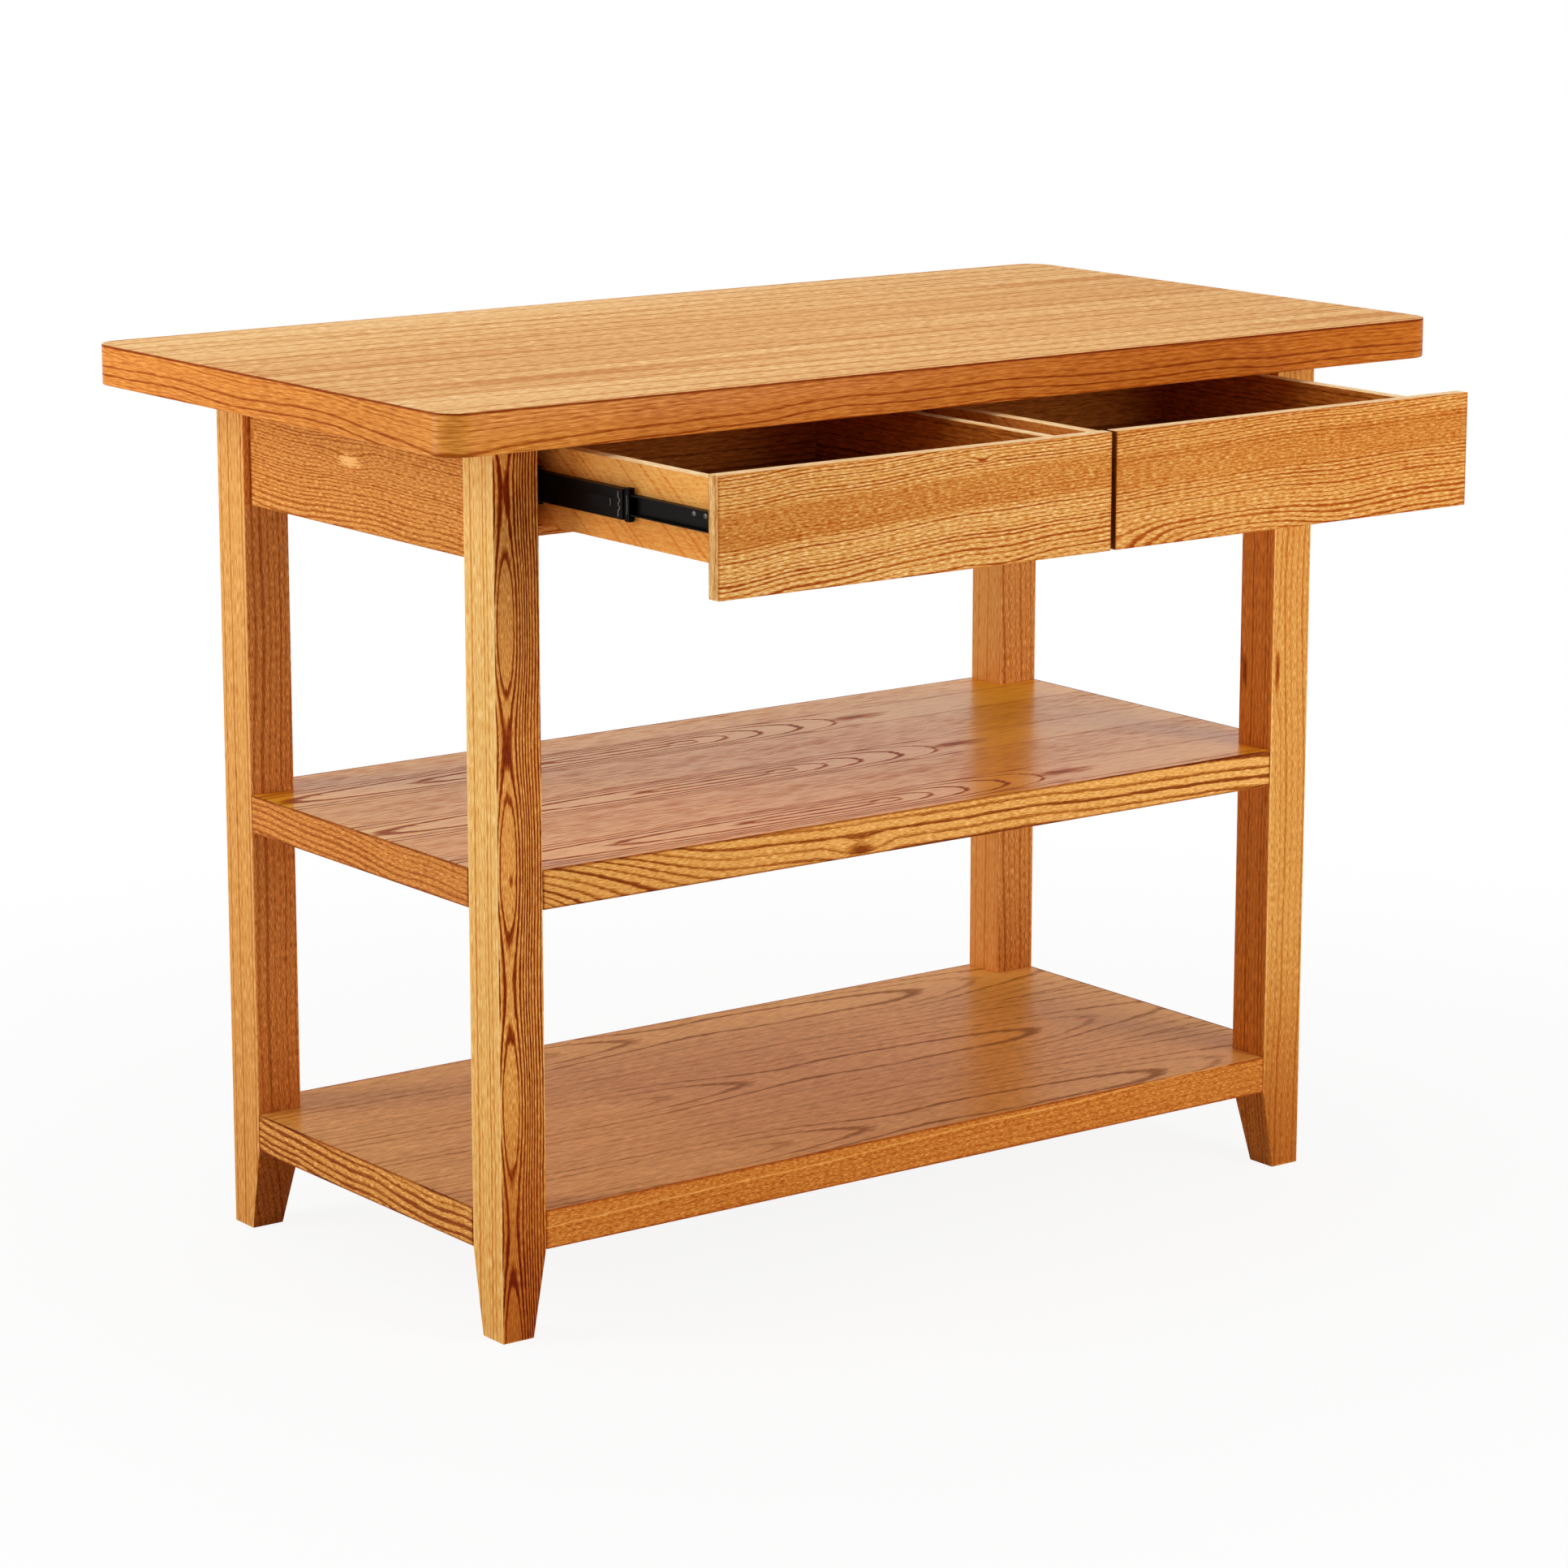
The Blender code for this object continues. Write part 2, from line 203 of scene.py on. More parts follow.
# What the wood group takes, with its usual values, and what it gives
WOOD_INPUTS = {
    "Along": 0.0, "Across": 0.0, "Depth": 0.0, "Bend": 0.0, "Seed": 0.0,
    "Pith Across": 0.0, "Pith Depth": 0.2, "Tilt": 0.0, "Arch": 0.0, "Arch Length": 9.0, "Sweep": 0.0,
    "Swing": 0.0, "Swing Length": 0.26, "Swing Start": 0.0, "Core": 0.0,
    "Ring": 0.003, "Wander": 0.004, "Wander Length": 0.3, "Jag": 0.5, "Variety": 1.0, "Faint": 0.4,
    "Line": 0.5, "Flank": 1.0, "Contrast": 0.5, "Dash": 0.4, "Speckle": 0.0, "Pale": 0.0, "Pores": 0.3,
    "Fibre": 1.3, "Fibres": 1200.0, "Fibre Length": 0.007, "Tone": 0.25, "Shade": 0.2, "Edge": 0.0,
    "Bulge": 0.0, "Bulge Along": 0.0, "Bulge Across": 0.0, "Bulge Length": 0.1, "Bulge Width": 0.05,
    "Knot Along": 9.0, "Knot Across": 0.0, "Knot Depth": 0.0, "Knot Size": 0.006, "Knot Shade": 0.75,
    "Knot Push": 1.6, "Knot Stretch": 3.0, "Roughness": 0.4,
}
WOOD_COLOURS = ("Light", "Stain")
WOOD_OUTPUTS = ("Colour", "Roughness", "Height", "Sheen")

# Cells per metre of the wood's noises, along the grain, across it and into the board
RAGGED_CELLS = (45.0, 500.0, 500.0)
SPECK_CELLS = (260.0, 600.0, 600.0)
PORE_CELLS = (75.0, 1000.0, 1000.0)
TONE_CELLS = (1.3, 16.0, 16.0)
DRIFT_CELLS = 5.0  # across the grain and into the board: the wander's length sets the others
SPACING_CELLS = 0.21  # per ring

# Weights in the wood group
WANDER_GAIN = 4.0  # noise keeps to its middle, so it is spread
SIDEWAYS = 0.5  # the pith's drift across the board, against its drift into it
BEHIND_ARCH = -0.25  # the pith's slope behind an arch's tip, against its slope past it
ARCH_FADE = 0.08  # metres over which the arches end
TILT_THINS = -2.6  # how far a tilt lets lines thin out where they cross the grain
KNOT_REACH = 3.0  # knot sizes over which a knot pushes the rings aside
KNOT_RAGGED = 1.2  # raggedness of a knot's outline, in knot sizes
CORE_CROWDING = 0.25  # rings in the core, against the same width outside it
SPACING_DRIFT = 2.2  # rings by which their spacing drifts
SPECK_SHARES = (0.15, 0.50)
LEAST_STAIN = -0.1
MOST_STAIN = 1.5


def pith_rings(g, given, place):
    """Distance from a pith line that tilts, wanders and swings, which gives flat cuts arches and ovals.

    Also gives the dark lines' width, how far they are kept and how their strength drifts.
    """
    slow = g.math("DIVIDE", 1.0, given["Wander Length"])
    drift = g.noise(place, g.combine(slow, DRIFT_CELLS, DRIFT_CELLS), given["Seed"], 1.0, "Color")
    drift_across, drift_depth, drift_strength = g.separate(drift)
    pith_across = g.times_plus(given["Sweep"], given["Along"], given["Pith Across"])
    past_arch = g.minus(given["Along"], given["Arch"])
    unfaded = g.smooth(g.minus(past_arch, given["Arch Length"]), ARCH_FADE, 0.0)
    past_arch = g.math("MAXIMUM", past_arch, g.times(past_arch, BEHIND_ARCH))
    pith_depth = g.times_plus(given["Tilt"], past_arch, given["Pith Depth"])
    reach = g.times(given["Wander"], WANDER_GAIN)
    sideways = g.times(g.times(reach, SIDEWAYS), g.centred(drift_across))
    inwards = g.times(reach, g.centred(drift_depth))
    across = g.add(sideways, g.minus(g.add(given["Across"], given["Bend"]), pith_across))
    depth = g.add(inwards, g.minus(given["Depth"], pith_depth))
    swings = g.steps(given["Along"], given["Swing Start"], given["Swing Length"])
    depth = g.times_plus(g.math("SINE", g.times(swings, 2 * math.pi)), given["Swing"], depth)
    radius = g.hypotenuse(across, depth)

    rise_along = g.times(given["Tilt"], depth)
    steepness = g.math("DIVIDE", g.hypotenuse(rise_along, across), radius)
    flattest = g.times_plus(given["Tilt"], TILT_THINS, 1.0)
    line_width = g.times(given["Line"], g.math("MAXIMUM", steepness, flattest))
    flank = g.smooth(steepness, 0.5, 1.0, 1.0, given["Flank"])
    return radius, line_width, g.times(unfaded, flank), drift_strength


def bent_rings(g, given, radius, ragged):
    """Bends the rings at a bulge, as by a hidden branch, and at a knot. Also gives the knot's share."""
    bulge_along = g.steps(given["Along"], given["Bulge Along"], given["Bulge Length"])
    bulge_across = g.steps(given["Across"], given["Bulge Across"], given["Bulge Width"])
    off_branch = g.length(g.combine(bulge_along, bulge_across, 0.0))
    inside = g.math("MAXIMUM", g.minus(1.0, off_branch), 0.0)
    radius = g.times_plus(g.times(inside, inside), given["Bulge"], radius)

    knot_size = given["Knot Size"]
    knot_along = g.steps(given["Along"], given["Knot Along"], g.times(knot_size, given["Knot Stretch"]))
    knot_across = g.steps(given["Across"], given["Knot Across"], knot_size)
    knot_depth = g.steps(given["Depth"], given["Knot Depth"], knot_size)
    away = g.length(g.combine(knot_along, knot_across, knot_depth))
    push = g.times(knot_size, given["Knot Push"])
    radius = g.times_plus(g.smooth(away, KNOT_REACH, 0.0), push, radius)
    away = g.times_plus(ragged, KNOT_RAGGED, away)
    return radius, g.smooth(away, 1.3, 0.1)


def ring_lines(g, given, radius, ragged, line_width, kept, drift_strength):
    """Dark and pale lines of uneven rings, which are wide and faint in the core."""
    rings = g.steps(radius, given["Core"], given["Ring"])
    past_core = g.smooth(rings, -0.7, 0.1)
    rings = g.math("MAXIMUM", rings, g.times(rings, CORE_CROWDING))
    rings = g.times_plus(ragged, given["Jag"], rings)
    spacing = g.noise(g.combine(rings, 0.0, 0.0), (SPACING_CELLS, 1.0, 1.0), given["Seed"])
    rings = g.times_plus(g.centred(spacing), SPACING_DRIFT, rings)
    within = g.math("FRACT", rings)
    rise = g.smooth(within, g.times_plus(line_width, -0.5, 0.5), 0.5)
    fall = g.smooth(within, 0.5, g.add(0.5, line_width), 1.0, 0.0)
    chance = g.hash(g.add(g.math("FLOOR", rings), given["Seed"]))
    strength = g.math("POWER", chance, given["Variety"])
    strength = g.times_plus(strength, g.minus(1.0, given["Faint"]), given["Faint"])
    strength = g.times(g.times(strength, past_core), g.between(drift_strength, 0.4, 1.6))
    dark = g.times(g.math("MINIMUM", rise, fall), g.times(strength, kept))
    pale = g.times(g.smooth(within, 0.35, 0.0), g.smooth(chance, 0.40, 0.20))
    return dark, pale


def stain_share(g, given, place, dark, pale, knot):
    """The share of stain that each place took. Also gives the broken lines, the dashes and the pores.

    Short dashes crowd into the dark lines, among fine pores, specks and slow changes of tone.
    """
    seed = given["Seed"]
    fibres = given["Fibres"]
    short = g.math("DIVIDE", 1.0, given["Fibre Length"])
    dash = g.centred(g.noise(place, g.combine(short, fibres, fibres), seed, 1.0))
    line = g.smooth(g.times_plus(dash, given["Dash"], dark), 0.05, 0.90)
    specks = g.smooth(g.noise(place, SPECK_CELLS, seed, 1.0), 0.30, 0.70)
    pores = g.smooth(g.noise(place, PORE_CELLS, seed, 1.0), 0.60, 0.74)
    pores = g.times(pores, g.between(dark, 0.3, 1.0))
    tone = g.centred(g.noise(place, TONE_CELLS, seed, 2.0))

    unspeckled = g.minus(1.0, given["Speckle"])
    share = g.times_plus(line, g.times(given["Contrast"], unspeckled), given["Shade"])
    share = g.times_plus(g.between(specks, *SPECK_SHARES), given["Speckle"], share)
    share = g.times_plus(dash, given["Fibre"], share)
    share = g.times_plus(tone, given["Tone"], share)
    share = g.times_plus(knot, given["Knot Shade"], share)
    share = g.times_plus(g.times(pores, 0.5), given["Pores"], share)
    unbleached = g.minus(1.0, g.times(pale, given["Pale"]))
    share = g.times(g.add(share, given["Edge"]), unbleached)
    share = g.math("MAXIMUM", g.math("MINIMUM", share, MOST_STAIN), LEAST_STAIN)
    return share, line, dash, pores


def wood_group():
    """Wood with growth rings about a pith line, pores, fibres and a knot, in a board's own directions."""
    tree = bpy.data.node_groups.new("wood", "ShaderNodeTree")
    for name, value in WOOD_INPUTS.items():
        tree.interface.new_socket(name, in_out="INPUT", socket_type="NodeSocketFloat").default_value = value
    for name in WOOD_COLOURS:
        tree.interface.new_socket(name, in_out="INPUT", socket_type="NodeSocketColor")
    for name in WOOD_OUTPUTS:
        kind = "NodeSocketColor" if name == "Colour" else "NodeSocketFloat"
        tree.interface.new_socket(name, in_out="OUTPUT", socket_type=kind)
    g = Graph(tree)
    given = tree.nodes.new("NodeGroupInput").outputs
    place = g.combine(given["Along"], given["Across"], given["Depth"])
    ragged = g.centred(g.noise(place, RAGGED_CELLS, given["Seed"], 1.0))
    radius, line_width, kept, drift_strength = pith_rings(g, given, place)
    radius, knot = bent_rings(g, given, radius, ragged)
    dark, pale = ring_lines(g, given, radius, ragged, line_width, kept, drift_strength)
    share, line, dash, pores = stain_share(g, given, place, dark, pale, knot)

    # The stain takes away light by its own share in each colour, as a dye does
    stained = g.node("ShaderNodeGamma", {"Color": given["Stain"], "Gamma": share})
    made = {
        "Colour": g.mix(1.0, given["Light"], stained, "MULTIPLY"),
        "Roughness": g.times_plus(pores, 0.16, g.times_plus(line, 0.07, given["Roughness"])),
        "Height": g.times_plus(pores, -0.7, g.times_plus(line, -0.5, g.times(dash, -0.8))),
        "Sheen": g.smooth(share, LEAST_STAIN, 0.7, 1.0, 0.0),
    }
    result = tree.nodes.new("NodeGroupOutput").inputs
    for name, value in made.items():
        g.link(value, result[name])
    return tree


WOOD = wood_group()
CORNER_RUN = 1.80  # metres round the slab from its back right corner to its front left corner

# Cuts of wood for many boards: rings, figure and surface
STRAIGHT = {"Ring": 0.0042, "Contrast": 0.45, "Pith Across": -0.15, "Pith Depth": 0.05}
QUARTERED = {
    "Ring": 0.0052, "Wander": 0.003, "Jag": 0.4, "Faint": 0.2, "Pale": 0.4, "Fibre": 1.8,
    "Fibre Length": 0.012, "Tone": 0.1, "Shade": 0.12, "Pith Across": -0.15, "Pith Depth": 0.02,
}
RIPPLED = {
    "Ring": 0.0028, "Wander": 0.006, "Wander Length": 0.18, "Contrast": 0.80, "Pith Depth": 0.05,
    "Pith Across": -0.085,
}
SPECKLED = {
    **QUARTERED, "Ring": 0.009, "Sweep": 0.7, "Speckle": 0.5, "Contrast": 0.7, "Pale": 0.0,
    "Fibre": 1.0, "Tone": 1.0, "Shade": 0.0,
}

# Cuts of the worktop's faces and edge band
STAVES = {
    "Ring": 0.0120, "Wander": 0.010, "Wander Length": 0.6, "Pith Depth": 0.045, "Variety": 3.0,
    "Faint": 0.15, "Dash": 0.3, "Fibre": 1.6, "Fibres": 500.0, "Fibre Length": 0.013, "Tone": 0.5,
}
TOP_BAND = {
    "Seed": 5.3, "Ring": 0.0040, "Wander": 0.010, "Wander Length": 0.20, "Contrast": 0.58,
    "Variety": 2.0, "Faint": 0.25, "Pith Depth": 0.02, "Pith Across": -0.060, "Fibre": 0.9,
    "Fibre Length": 0.014, "Bulge": 0.020, "Bulge Along": CORNER_RUN, "Bulge Across": -0.05,
    "Bulge Length": 0.30, "Bulge Width": 0.12,
}

# Cuts of the legs
OVALS = {
    "Pith Across": -0.013, "Core": 0.0075, "Swing": 0.0115, "Swing Length": 0.463, "Swing Start": 0.029,
    "Wander": 0.0018, "Wander Length": 0.12, "Line": 0.6, "Contrast": 1.1, "Faint": 0.6, "Dash": 0.3,
    "Fibre": 1.0, "Knot Along": 0.018, "Knot Across": -0.010, "Knot Depth": -0.025, "Knot Size": 0.0022,
}
PLAIN = {**STRAIGHT, "Contrast": 0.30, "Pith Depth": 0.12, "Pith Across": -0.10}
SPLIT = {
    **PLAIN, "Contrast": 0.22, "Fibre": 0.9, "Knot Along": 0.105, "Knot Across": -0.0175,
    "Knot Depth": -0.025, "Knot Size": 0.0028, "Knot Stretch": 9.0,
}
TORN = {
    **QUARTERED, "Contrast": 0.28, "Fibre": 1.3, "Knot Along": 0.100, "Knot Across": 0.016,
    "Knot Depth": -0.025, "Knot Size": 0.0034, "Knot Stretch": 6.0,
}

# Cuts of the shelves' faces, long edges and ends
ARCHES = {
    "Ring": 0.0140, "Pith Depth": 0.0120, "Arch": -0.03, "Arch Length": 0.19, "Tilt": 0.33,
    "Wander": 0.002, "Wander Length": 0.4, "Jag": 0.3, "Contrast": 1.4, "Faint": 0.6, "Dash": 0.3,
    "Pores": 0.0, "Fibre": 1.6, "Fibres": 450.0, "Fibre Length": 0.020, "Tone": 0.5, "Shade": -0.10,
    "Knot Along": 0.215, "Knot Size": 0.012, "Knot Shade": 1.2, "Knot Push": 0.0,
}
LONG_OVALS = {
    "Ring": 0.0130, "Pith Depth": 0.0150, "Core": 0.010, "Arch": -0.40, "Tilt": 0.08, "Sweep": -0.03,
    "Wander": 0.016, "Wander Length": 0.28, "Line": 0.40, "Flank": 0.6, "Contrast": 0.95, "Faint": 0.3,
    "Dash": 0.3, "Pores": 0.0, "Fibre": 1.0, "Fibres": 450.0, "Fibre Length": 0.012,
}
FLAME = {
    "Ring": 0.0120, "Pith Depth": 0.004, "Pith Across": -0.060, "Wander": 0.006, "Wander Length": 0.20,
    "Jag": 0.3, "Core": -0.18, "Line": 0.42, "Contrast": 0.78, "Dash": 0.25, "Fibre": 0.9,
    "Sweep": -0.02, "Faint": 0.5, "Bulge": -0.20, "Bulge Along": -0.55, "Bulge Across": -0.03,
    "Bulge Length": 0.34, "Bulge Width": 0.15, "Shade": 0.08, "Knot Along": -0.081,
    "Knot Across": -0.012,
}
FLECK = {
    **QUARTERED, "Ring": 0.0065, "Speckle": 0.7, "Pale": 1.0, "Sweep": 0.02, "Wander": 0.006,
    "Fibre": 1.4, "Tone": 0.3, "Fibre Length": 0.006,
}
STREAK = {
    **STRAIGHT, "Ring": 0.0060, "Sweep": 0.05, "Wander": 0.006, "Wander Length": 0.12, "Contrast": 0.4,
}
WAVE = {
    **STRAIGHT, "Ring": 0.0075, "Sweep": 0.05, "Wander": 0.010, "Wander Length": 0.15, "Contrast": 0.65,
}

# Cuts of the aprons and of the drawers' fronts
APRON = {
    **RIPPLED, "Wander": 0.004, "Contrast": 0.45, "Jag": 0.8, "Dash": 0.7, "Knot Push": 0.9,
    "Knot Along": 0.0135, "Knot Across": 0.008, "Knot Depth": -0.010, "Knot Size": 0.007,
    "Knot Shade": -0.6,
}
LEFT_FRONT = {
    **RIPPLED, "Shade": 0.15, "Sweep": 0.04, "Knot Along": 0.071, "Knot Across": 0.043,
    "Knot Depth": -0.007, "Knot Size": 0.0022,
}
RIGHT_FRONT = {
    **RIPPLED, "Shade": 0.22, "Wander": 0.008, "Wander Length": 0.24, "Sweep": 0.02, "Contrast": 0.65,
    "Jag": 0.7, "Bulge": 0.022, "Bulge Along": -0.24, "Bulge Across": -0.07, "Bulge Length": 0.14,
}
# The end of a drawer front that faces the other drawer, darkened as painted shade for the narrow gap.
GAP_PAINTED_SHADE_CUT = {**STRAIGHT, "Shade": 0.8}

# Colours of the wood, light and dark
# The worktop's face has no coat of its own. It is paler and less saturated than its band partly as a
# painted sheen.
TOP_TONES_WITH_PAINTED_SHEEN = (srgb(242, 196, 132), srgb(172, 92, 26))
BAND_TONES = (srgb(252, 170, 74), srgb(146, 60, 4))
EDGE_TONES = (srgb(255, 194, 108), srgb(128, 54, 6))
END_TONES = (srgb(244, 168, 88), srgb(136, 60, 10))
APRON_TONES = (srgb(250, 184, 104), srgb(146, 66, 10))
FRONT_TONES = (srgb(255, 212, 140), srgb(164, 68, 8))
MIDDLE_TONES = (srgb(255, 182, 44), srgb(186, 100, 10))
LOWER_TONES = (srgb(230, 165, 80), srgb(158, 97, 32))
BOX_TONES = (srgb(255, 182, 92), srgb(210, 98, 26))
# The drawers' insides and the backs of their fronts are darker as painted shade.
INSIDE_PAINTED_SHADE_TONES = (srgb(214, 136, 54), srgb(128, 66, 14))
CREAM_TONES = (srgb(255, 226, 176), srgb(200, 136, 74))
CORE_TONES = (srgb(255, 216, 148), srgb(170, 92, 34))
FLECK_TONES = (srgb(252, 182, 94), srgb(166, 72, 12))

# Cuts and colours of each leg's front and sides. The front right leg's sides, which face into the frame,
# have darker tones as painted shade.
LEG_FRONTS = {
    "front_left": (OVALS, (srgb(255, 190, 102), srgb(138, 50, 4))),
    "front_right": (SPLIT, (srgb(250, 192, 106), srgb(142, 54, 6))),
    "back_left": (PLAIN, (srgb(242, 164, 86), srgb(124, 52, 10))),
    "back_right": (PLAIN, (srgb(244, 172, 94), srgb(134, 58, 10))),
}
LEG_SIDES = {
    "front_left": (QUARTERED, (srgb(255, 212, 134), srgb(196, 112, 34))),
    # darker as painted shade: these sides face into the frame
    "front_right": (TORN, (srgb(250, 160, 70), srgb(132, 60, 10))),
    "back_left": (QUARTERED, (srgb(240, 180, 102), srgb(172, 92, 26))),
    "back_right": (QUARTERED, (srgb(246, 182, 100), srgb(206, 110, 40))),
}

# Surface of the wood
WOOD_BUMP = (0.35, 0.0004)  # strength, and distance in metres
WOOD_SPECULAR = 0.05
LACQUER_ROUGHNESS = 0.24
BOARD_ROUGHNESS = 0.45
SHELF_ROUGHNESS = 0.42
MATT_ROUGHNESS = 0.5  # the worktop and the drawers' boxes

# Shades of the arrises, darker above 0. The legs' paler arrises are partly wear and partly a painted
# highlight.
TOP_ARRIS_SHADE = 0.35
BAND_ARRIS_SHADE = 0.9
LEG_ARRIS_WEAR_AND_HIGHLIGHT = -0.25
EDGE_ARRIS_SHADE = 0.5
BOARD_ARRIS_SHADE = 0.2

# The arched zone in the middle of a strip of veneer, and a speckled stripe
ZONE_BLEND = 0.002  # metres on each side of the zone's border
ZONE_LINE = 0.0018  # half the width of the line along that border
ZONE_LINE_SHADE = 0.8
ZONE_CROWDING = 0.25  # least room that is left to the rings at the zone's sides
BESIDE_SHADE = 0.18
BESIDE_CONTRAST = 0.1
STRIPE_CORE = 0.6  # the stripe's share with all its specks


def new_material(name):
    """A new material, its graph and its shader."""
    material = bpy.data.materials.new(name)
    material.use_nodes = True
    return material, Graph(material.node_tree), material.node_tree.nodes["Principled BSDF"]


def add_bump(g, shader, height, strength, distance):
    """Lets a height disturb a shader's surface."""
    bump = g.node("ShaderNodeBump", {"Height": height, "Strength": strength, "Distance": distance})
    g.link(bump, shader.inputs["Normal"])


def wood(name, axes, centre, colours, cut, seed, half=None, edge=0.0, strips=None, zone=None, stripe=None,
         grade=None, coat=0.0, rough=BOARD_ROUGHNESS):
    """A wood for one board. axes names its directions along the grain, across it and into the board."""
    material, g, shader = new_material(name)
    local = g.node("ShaderNodeVectorMath", {0: g.position(), 1: centre}, operation="SUBTRACT")
    by_axis = dict(zip("XYZ", g.separate(local)))
    along, across, depth = (by_axis[axis] for axis in axes)
    values = {"Seed": seed, "Roughness": rough, **cut}
    shade = g.smooth(along, *grade) if grade else cut.get("Shade", WOOD_INPUTS["Shade"])
    if strips:
        across, along, change = veneer_strips(g, across, along, strips, seed)
        shade = g.add(change, shade)
    if zone:
        values["Bend"], beside, border = arched_zone(g, across, zone)
        values["Contrast"] = g.times(g.smooth(beside, 1.0, 0.0, BESIDE_CONTRAST), cut["Contrast"])
        shade = g.times_plus(beside, BESIDE_SHADE, g.times_plus(border, ZONE_LINE_SHADE, shade))
    values["Shade"] = shade
    if half:
        values["Edge"] = g.times(arris_share(g, by_axis, half), edge)
    if stripe:
        values["Speckle"] = speckled_stripe(g, along, across, stripe)
    values.update({"Along": along, "Across": across, "Depth": depth})
    finish_wood(g, shader, values, colours, coat)
    return material


def finish_wood(g, shader, values, colours, coat):
    """Joins a wood group to the shader. A coat, where there is one, is a lacquer that dark wood dulls."""
    light, dark = colours
    stain = [low / high for low, high in zip(dark, light)]
    group = g.node("ShaderNodeGroup", {**values, "Light": light, "Stain": stain}, node_tree=WOOD).node
    g.link(group.outputs["Colour"], shader.inputs["Base Color"])
    g.link(group.outputs["Roughness"], shader.inputs["Roughness"])
    add_bump(g, shader, group.outputs["Height"], *WOOD_BUMP)
    shader.inputs["Specular IOR Level"].default_value = WOOD_SPECULAR
    if coat:
        g.link(g.times(group.outputs["Sheen"], coat), shader.inputs["Coat Weight"])
        shader.inputs["Coat Roughness"].default_value = LACQUER_ROUGHNESS


def veneer_strips(g, across, along, strips, seed):
    """Splits a face into strips with their own slip along the grain and shade, and shaded joints."""
    index = g.math("FLOOR", g.steps(across, strips.start, strips.width))
    chance = g.hash(g.add(index, seed + 0.37))
    local = g.minus(across, g.times_plus(index, strips.width, strips.start + strips.width / 2))
    shifted = g.times_plus(chance, strips.slip, along)
    joint = g.smooth(g.math("ABSOLUTE", local), strips.width / 2 - SEAM, strips.width / 2)
    change = g.times(g.centred(chance), strips.shade)
    return local, shifted, g.times_plus(joint, strips.seam, change)


def arched_zone(g, across, half_width):
    """A zone along a strip's middle. Its rings crowd towards its sides, and the wood beside it is plain."""
    share = g.math("DIVIDE", across, half_width)
    room = g.math("MAXIMUM", g.minus(1.0, g.times(share, share)), ZONE_CROWDING)
    bend = g.minus(g.math("DIVIDE", across, g.math("SQRT", room)), across)
    past_border = g.minus(g.math("ABSOLUTE", across), half_width)
    beside = g.smooth(past_border, -ZONE_BLEND, ZONE_BLEND)
    border = g.smooth(g.math("ABSOLUTE", past_border), ZONE_LINE, 0.0)
    return bend, beside, border


def speckled_stripe(g, along, across, stripe):
    """The share of specks in a stripe that runs at a slope over the board."""
    off = g.math("ABSOLUTE", g.minus(across, g.times_plus(along, stripe.slope, stripe.middle)))
    return g.smooth(off, stripe.half_width, stripe.half_width * STRIPE_CORE, 0.0, stripe.share)


def arris_share(g, by_axis, half):
    """1 at a board's arrises and 0 a few millimetres away from them."""
    gaps = [g.minus(size, g.math("ABSOLUTE", by_axis[axis])) for axis, size in zip("XYZ", half)]
    low = g.math("MINIMUM", gaps[0], gaps[1])
    high = g.math("MAXIMUM", gaps[0], gaps[1])
    second_smallest = g.math("MAXIMUM", low, g.math("MINIMUM", high, gaps[2]))
    return g.smooth(second_smallest, ARRIS_REACH, 0.0)


def box_of(node):
    """Centre and half sizes of a CAD node at rest."""
    low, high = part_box(node)
    return (low + high) / 2, (high - low) / 2


def body_of(node):
    """The body that a CAD node moves with."""
    return frame["nodes"][node]["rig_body"]


def ease_edges(shape, edges, ease, clamp=False):
    """Rounds some edges of a shape."""
    bmesh.ops.bevel(shape, geom=edges, offset=ease, segments=EASE_SEGMENTS, profile=ROUND_PROFILE,
                    affect="EDGES", clamp_overlap=clamp)


def eased_shape(node, ease):
    """The node's shape with its facets joined and its arrises rounded."""
    shape = bmesh.new()
    shape.from_mesh(frame["nodes"][node].data)
    bmesh.ops.remove_doubles(shape, verts=shape.verts, dist=WELD)
    bmesh.ops.dissolve_limit(shape, angle_limit=FLAT_ANGLE, verts=shape.verts, edges=shape.edges)
    arrises = [e for e in shape.edges if e.is_convex and e.calc_face_angle(0.0) > EDGE_ANGLE]
    ease_edges(shape, arrises, ease, clamp=True)
    return shape


def box_shape(low, high, ease):
    """A box between two corners, with its arrises rounded."""
    shape = bmesh.new()
    bmesh.ops.create_cube(shape, size=1.0)
    for vert in shape.verts:
        vert.co = Vector([h if c > 0 else l for c, l, h in zip(vert.co, low, high)])
    ease_edges(shape, shape.edges[:], ease)
    return shape


def piece(name, shape, body, materials, choose=None):
    """Turns a shape into a piece that moves with its body. choose gives a face's material by its normal."""
    shape.normal_update()
    for face in shape.faces:
        face.material_index = choose(face.normal) if choose else 0
        face.smooth = True
    mesh = bpy.data.meshes.new(name)
    shape.to_mesh(mesh)
    shape.free()
    for material in materials:
        mesh.materials.append(material)
    mesh.set_sharp_from_angle(angle=EDGE_ANGLE)
    made = bpy.data.objects.new(name, mesh)
    bpy.context.scene.collection.objects.link(made)
    weighted = made.modifiers.new("even_shading", "WEIGHTED_NORMAL")
    weighted.keep_sharp = True
    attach(made, body)
    return made


def dressed(node, ease, materials, choose=None):
    """An eased copy of a CAD node that stands for it."""
    made = piece(f"{node}_wood", eased_shape(node, ease), body_of(node), materials, choose)
    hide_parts(node)
    return made


# The band round the worktop's edge
BAND_COAT = 0.30
BAND_SHADE = 0.15
BAND_ARRIS_START = 0.0030  # below the slab's top face, where the arris's dark line starts
BAND_ARRIS_FULL = 0.0008  # and where it is full

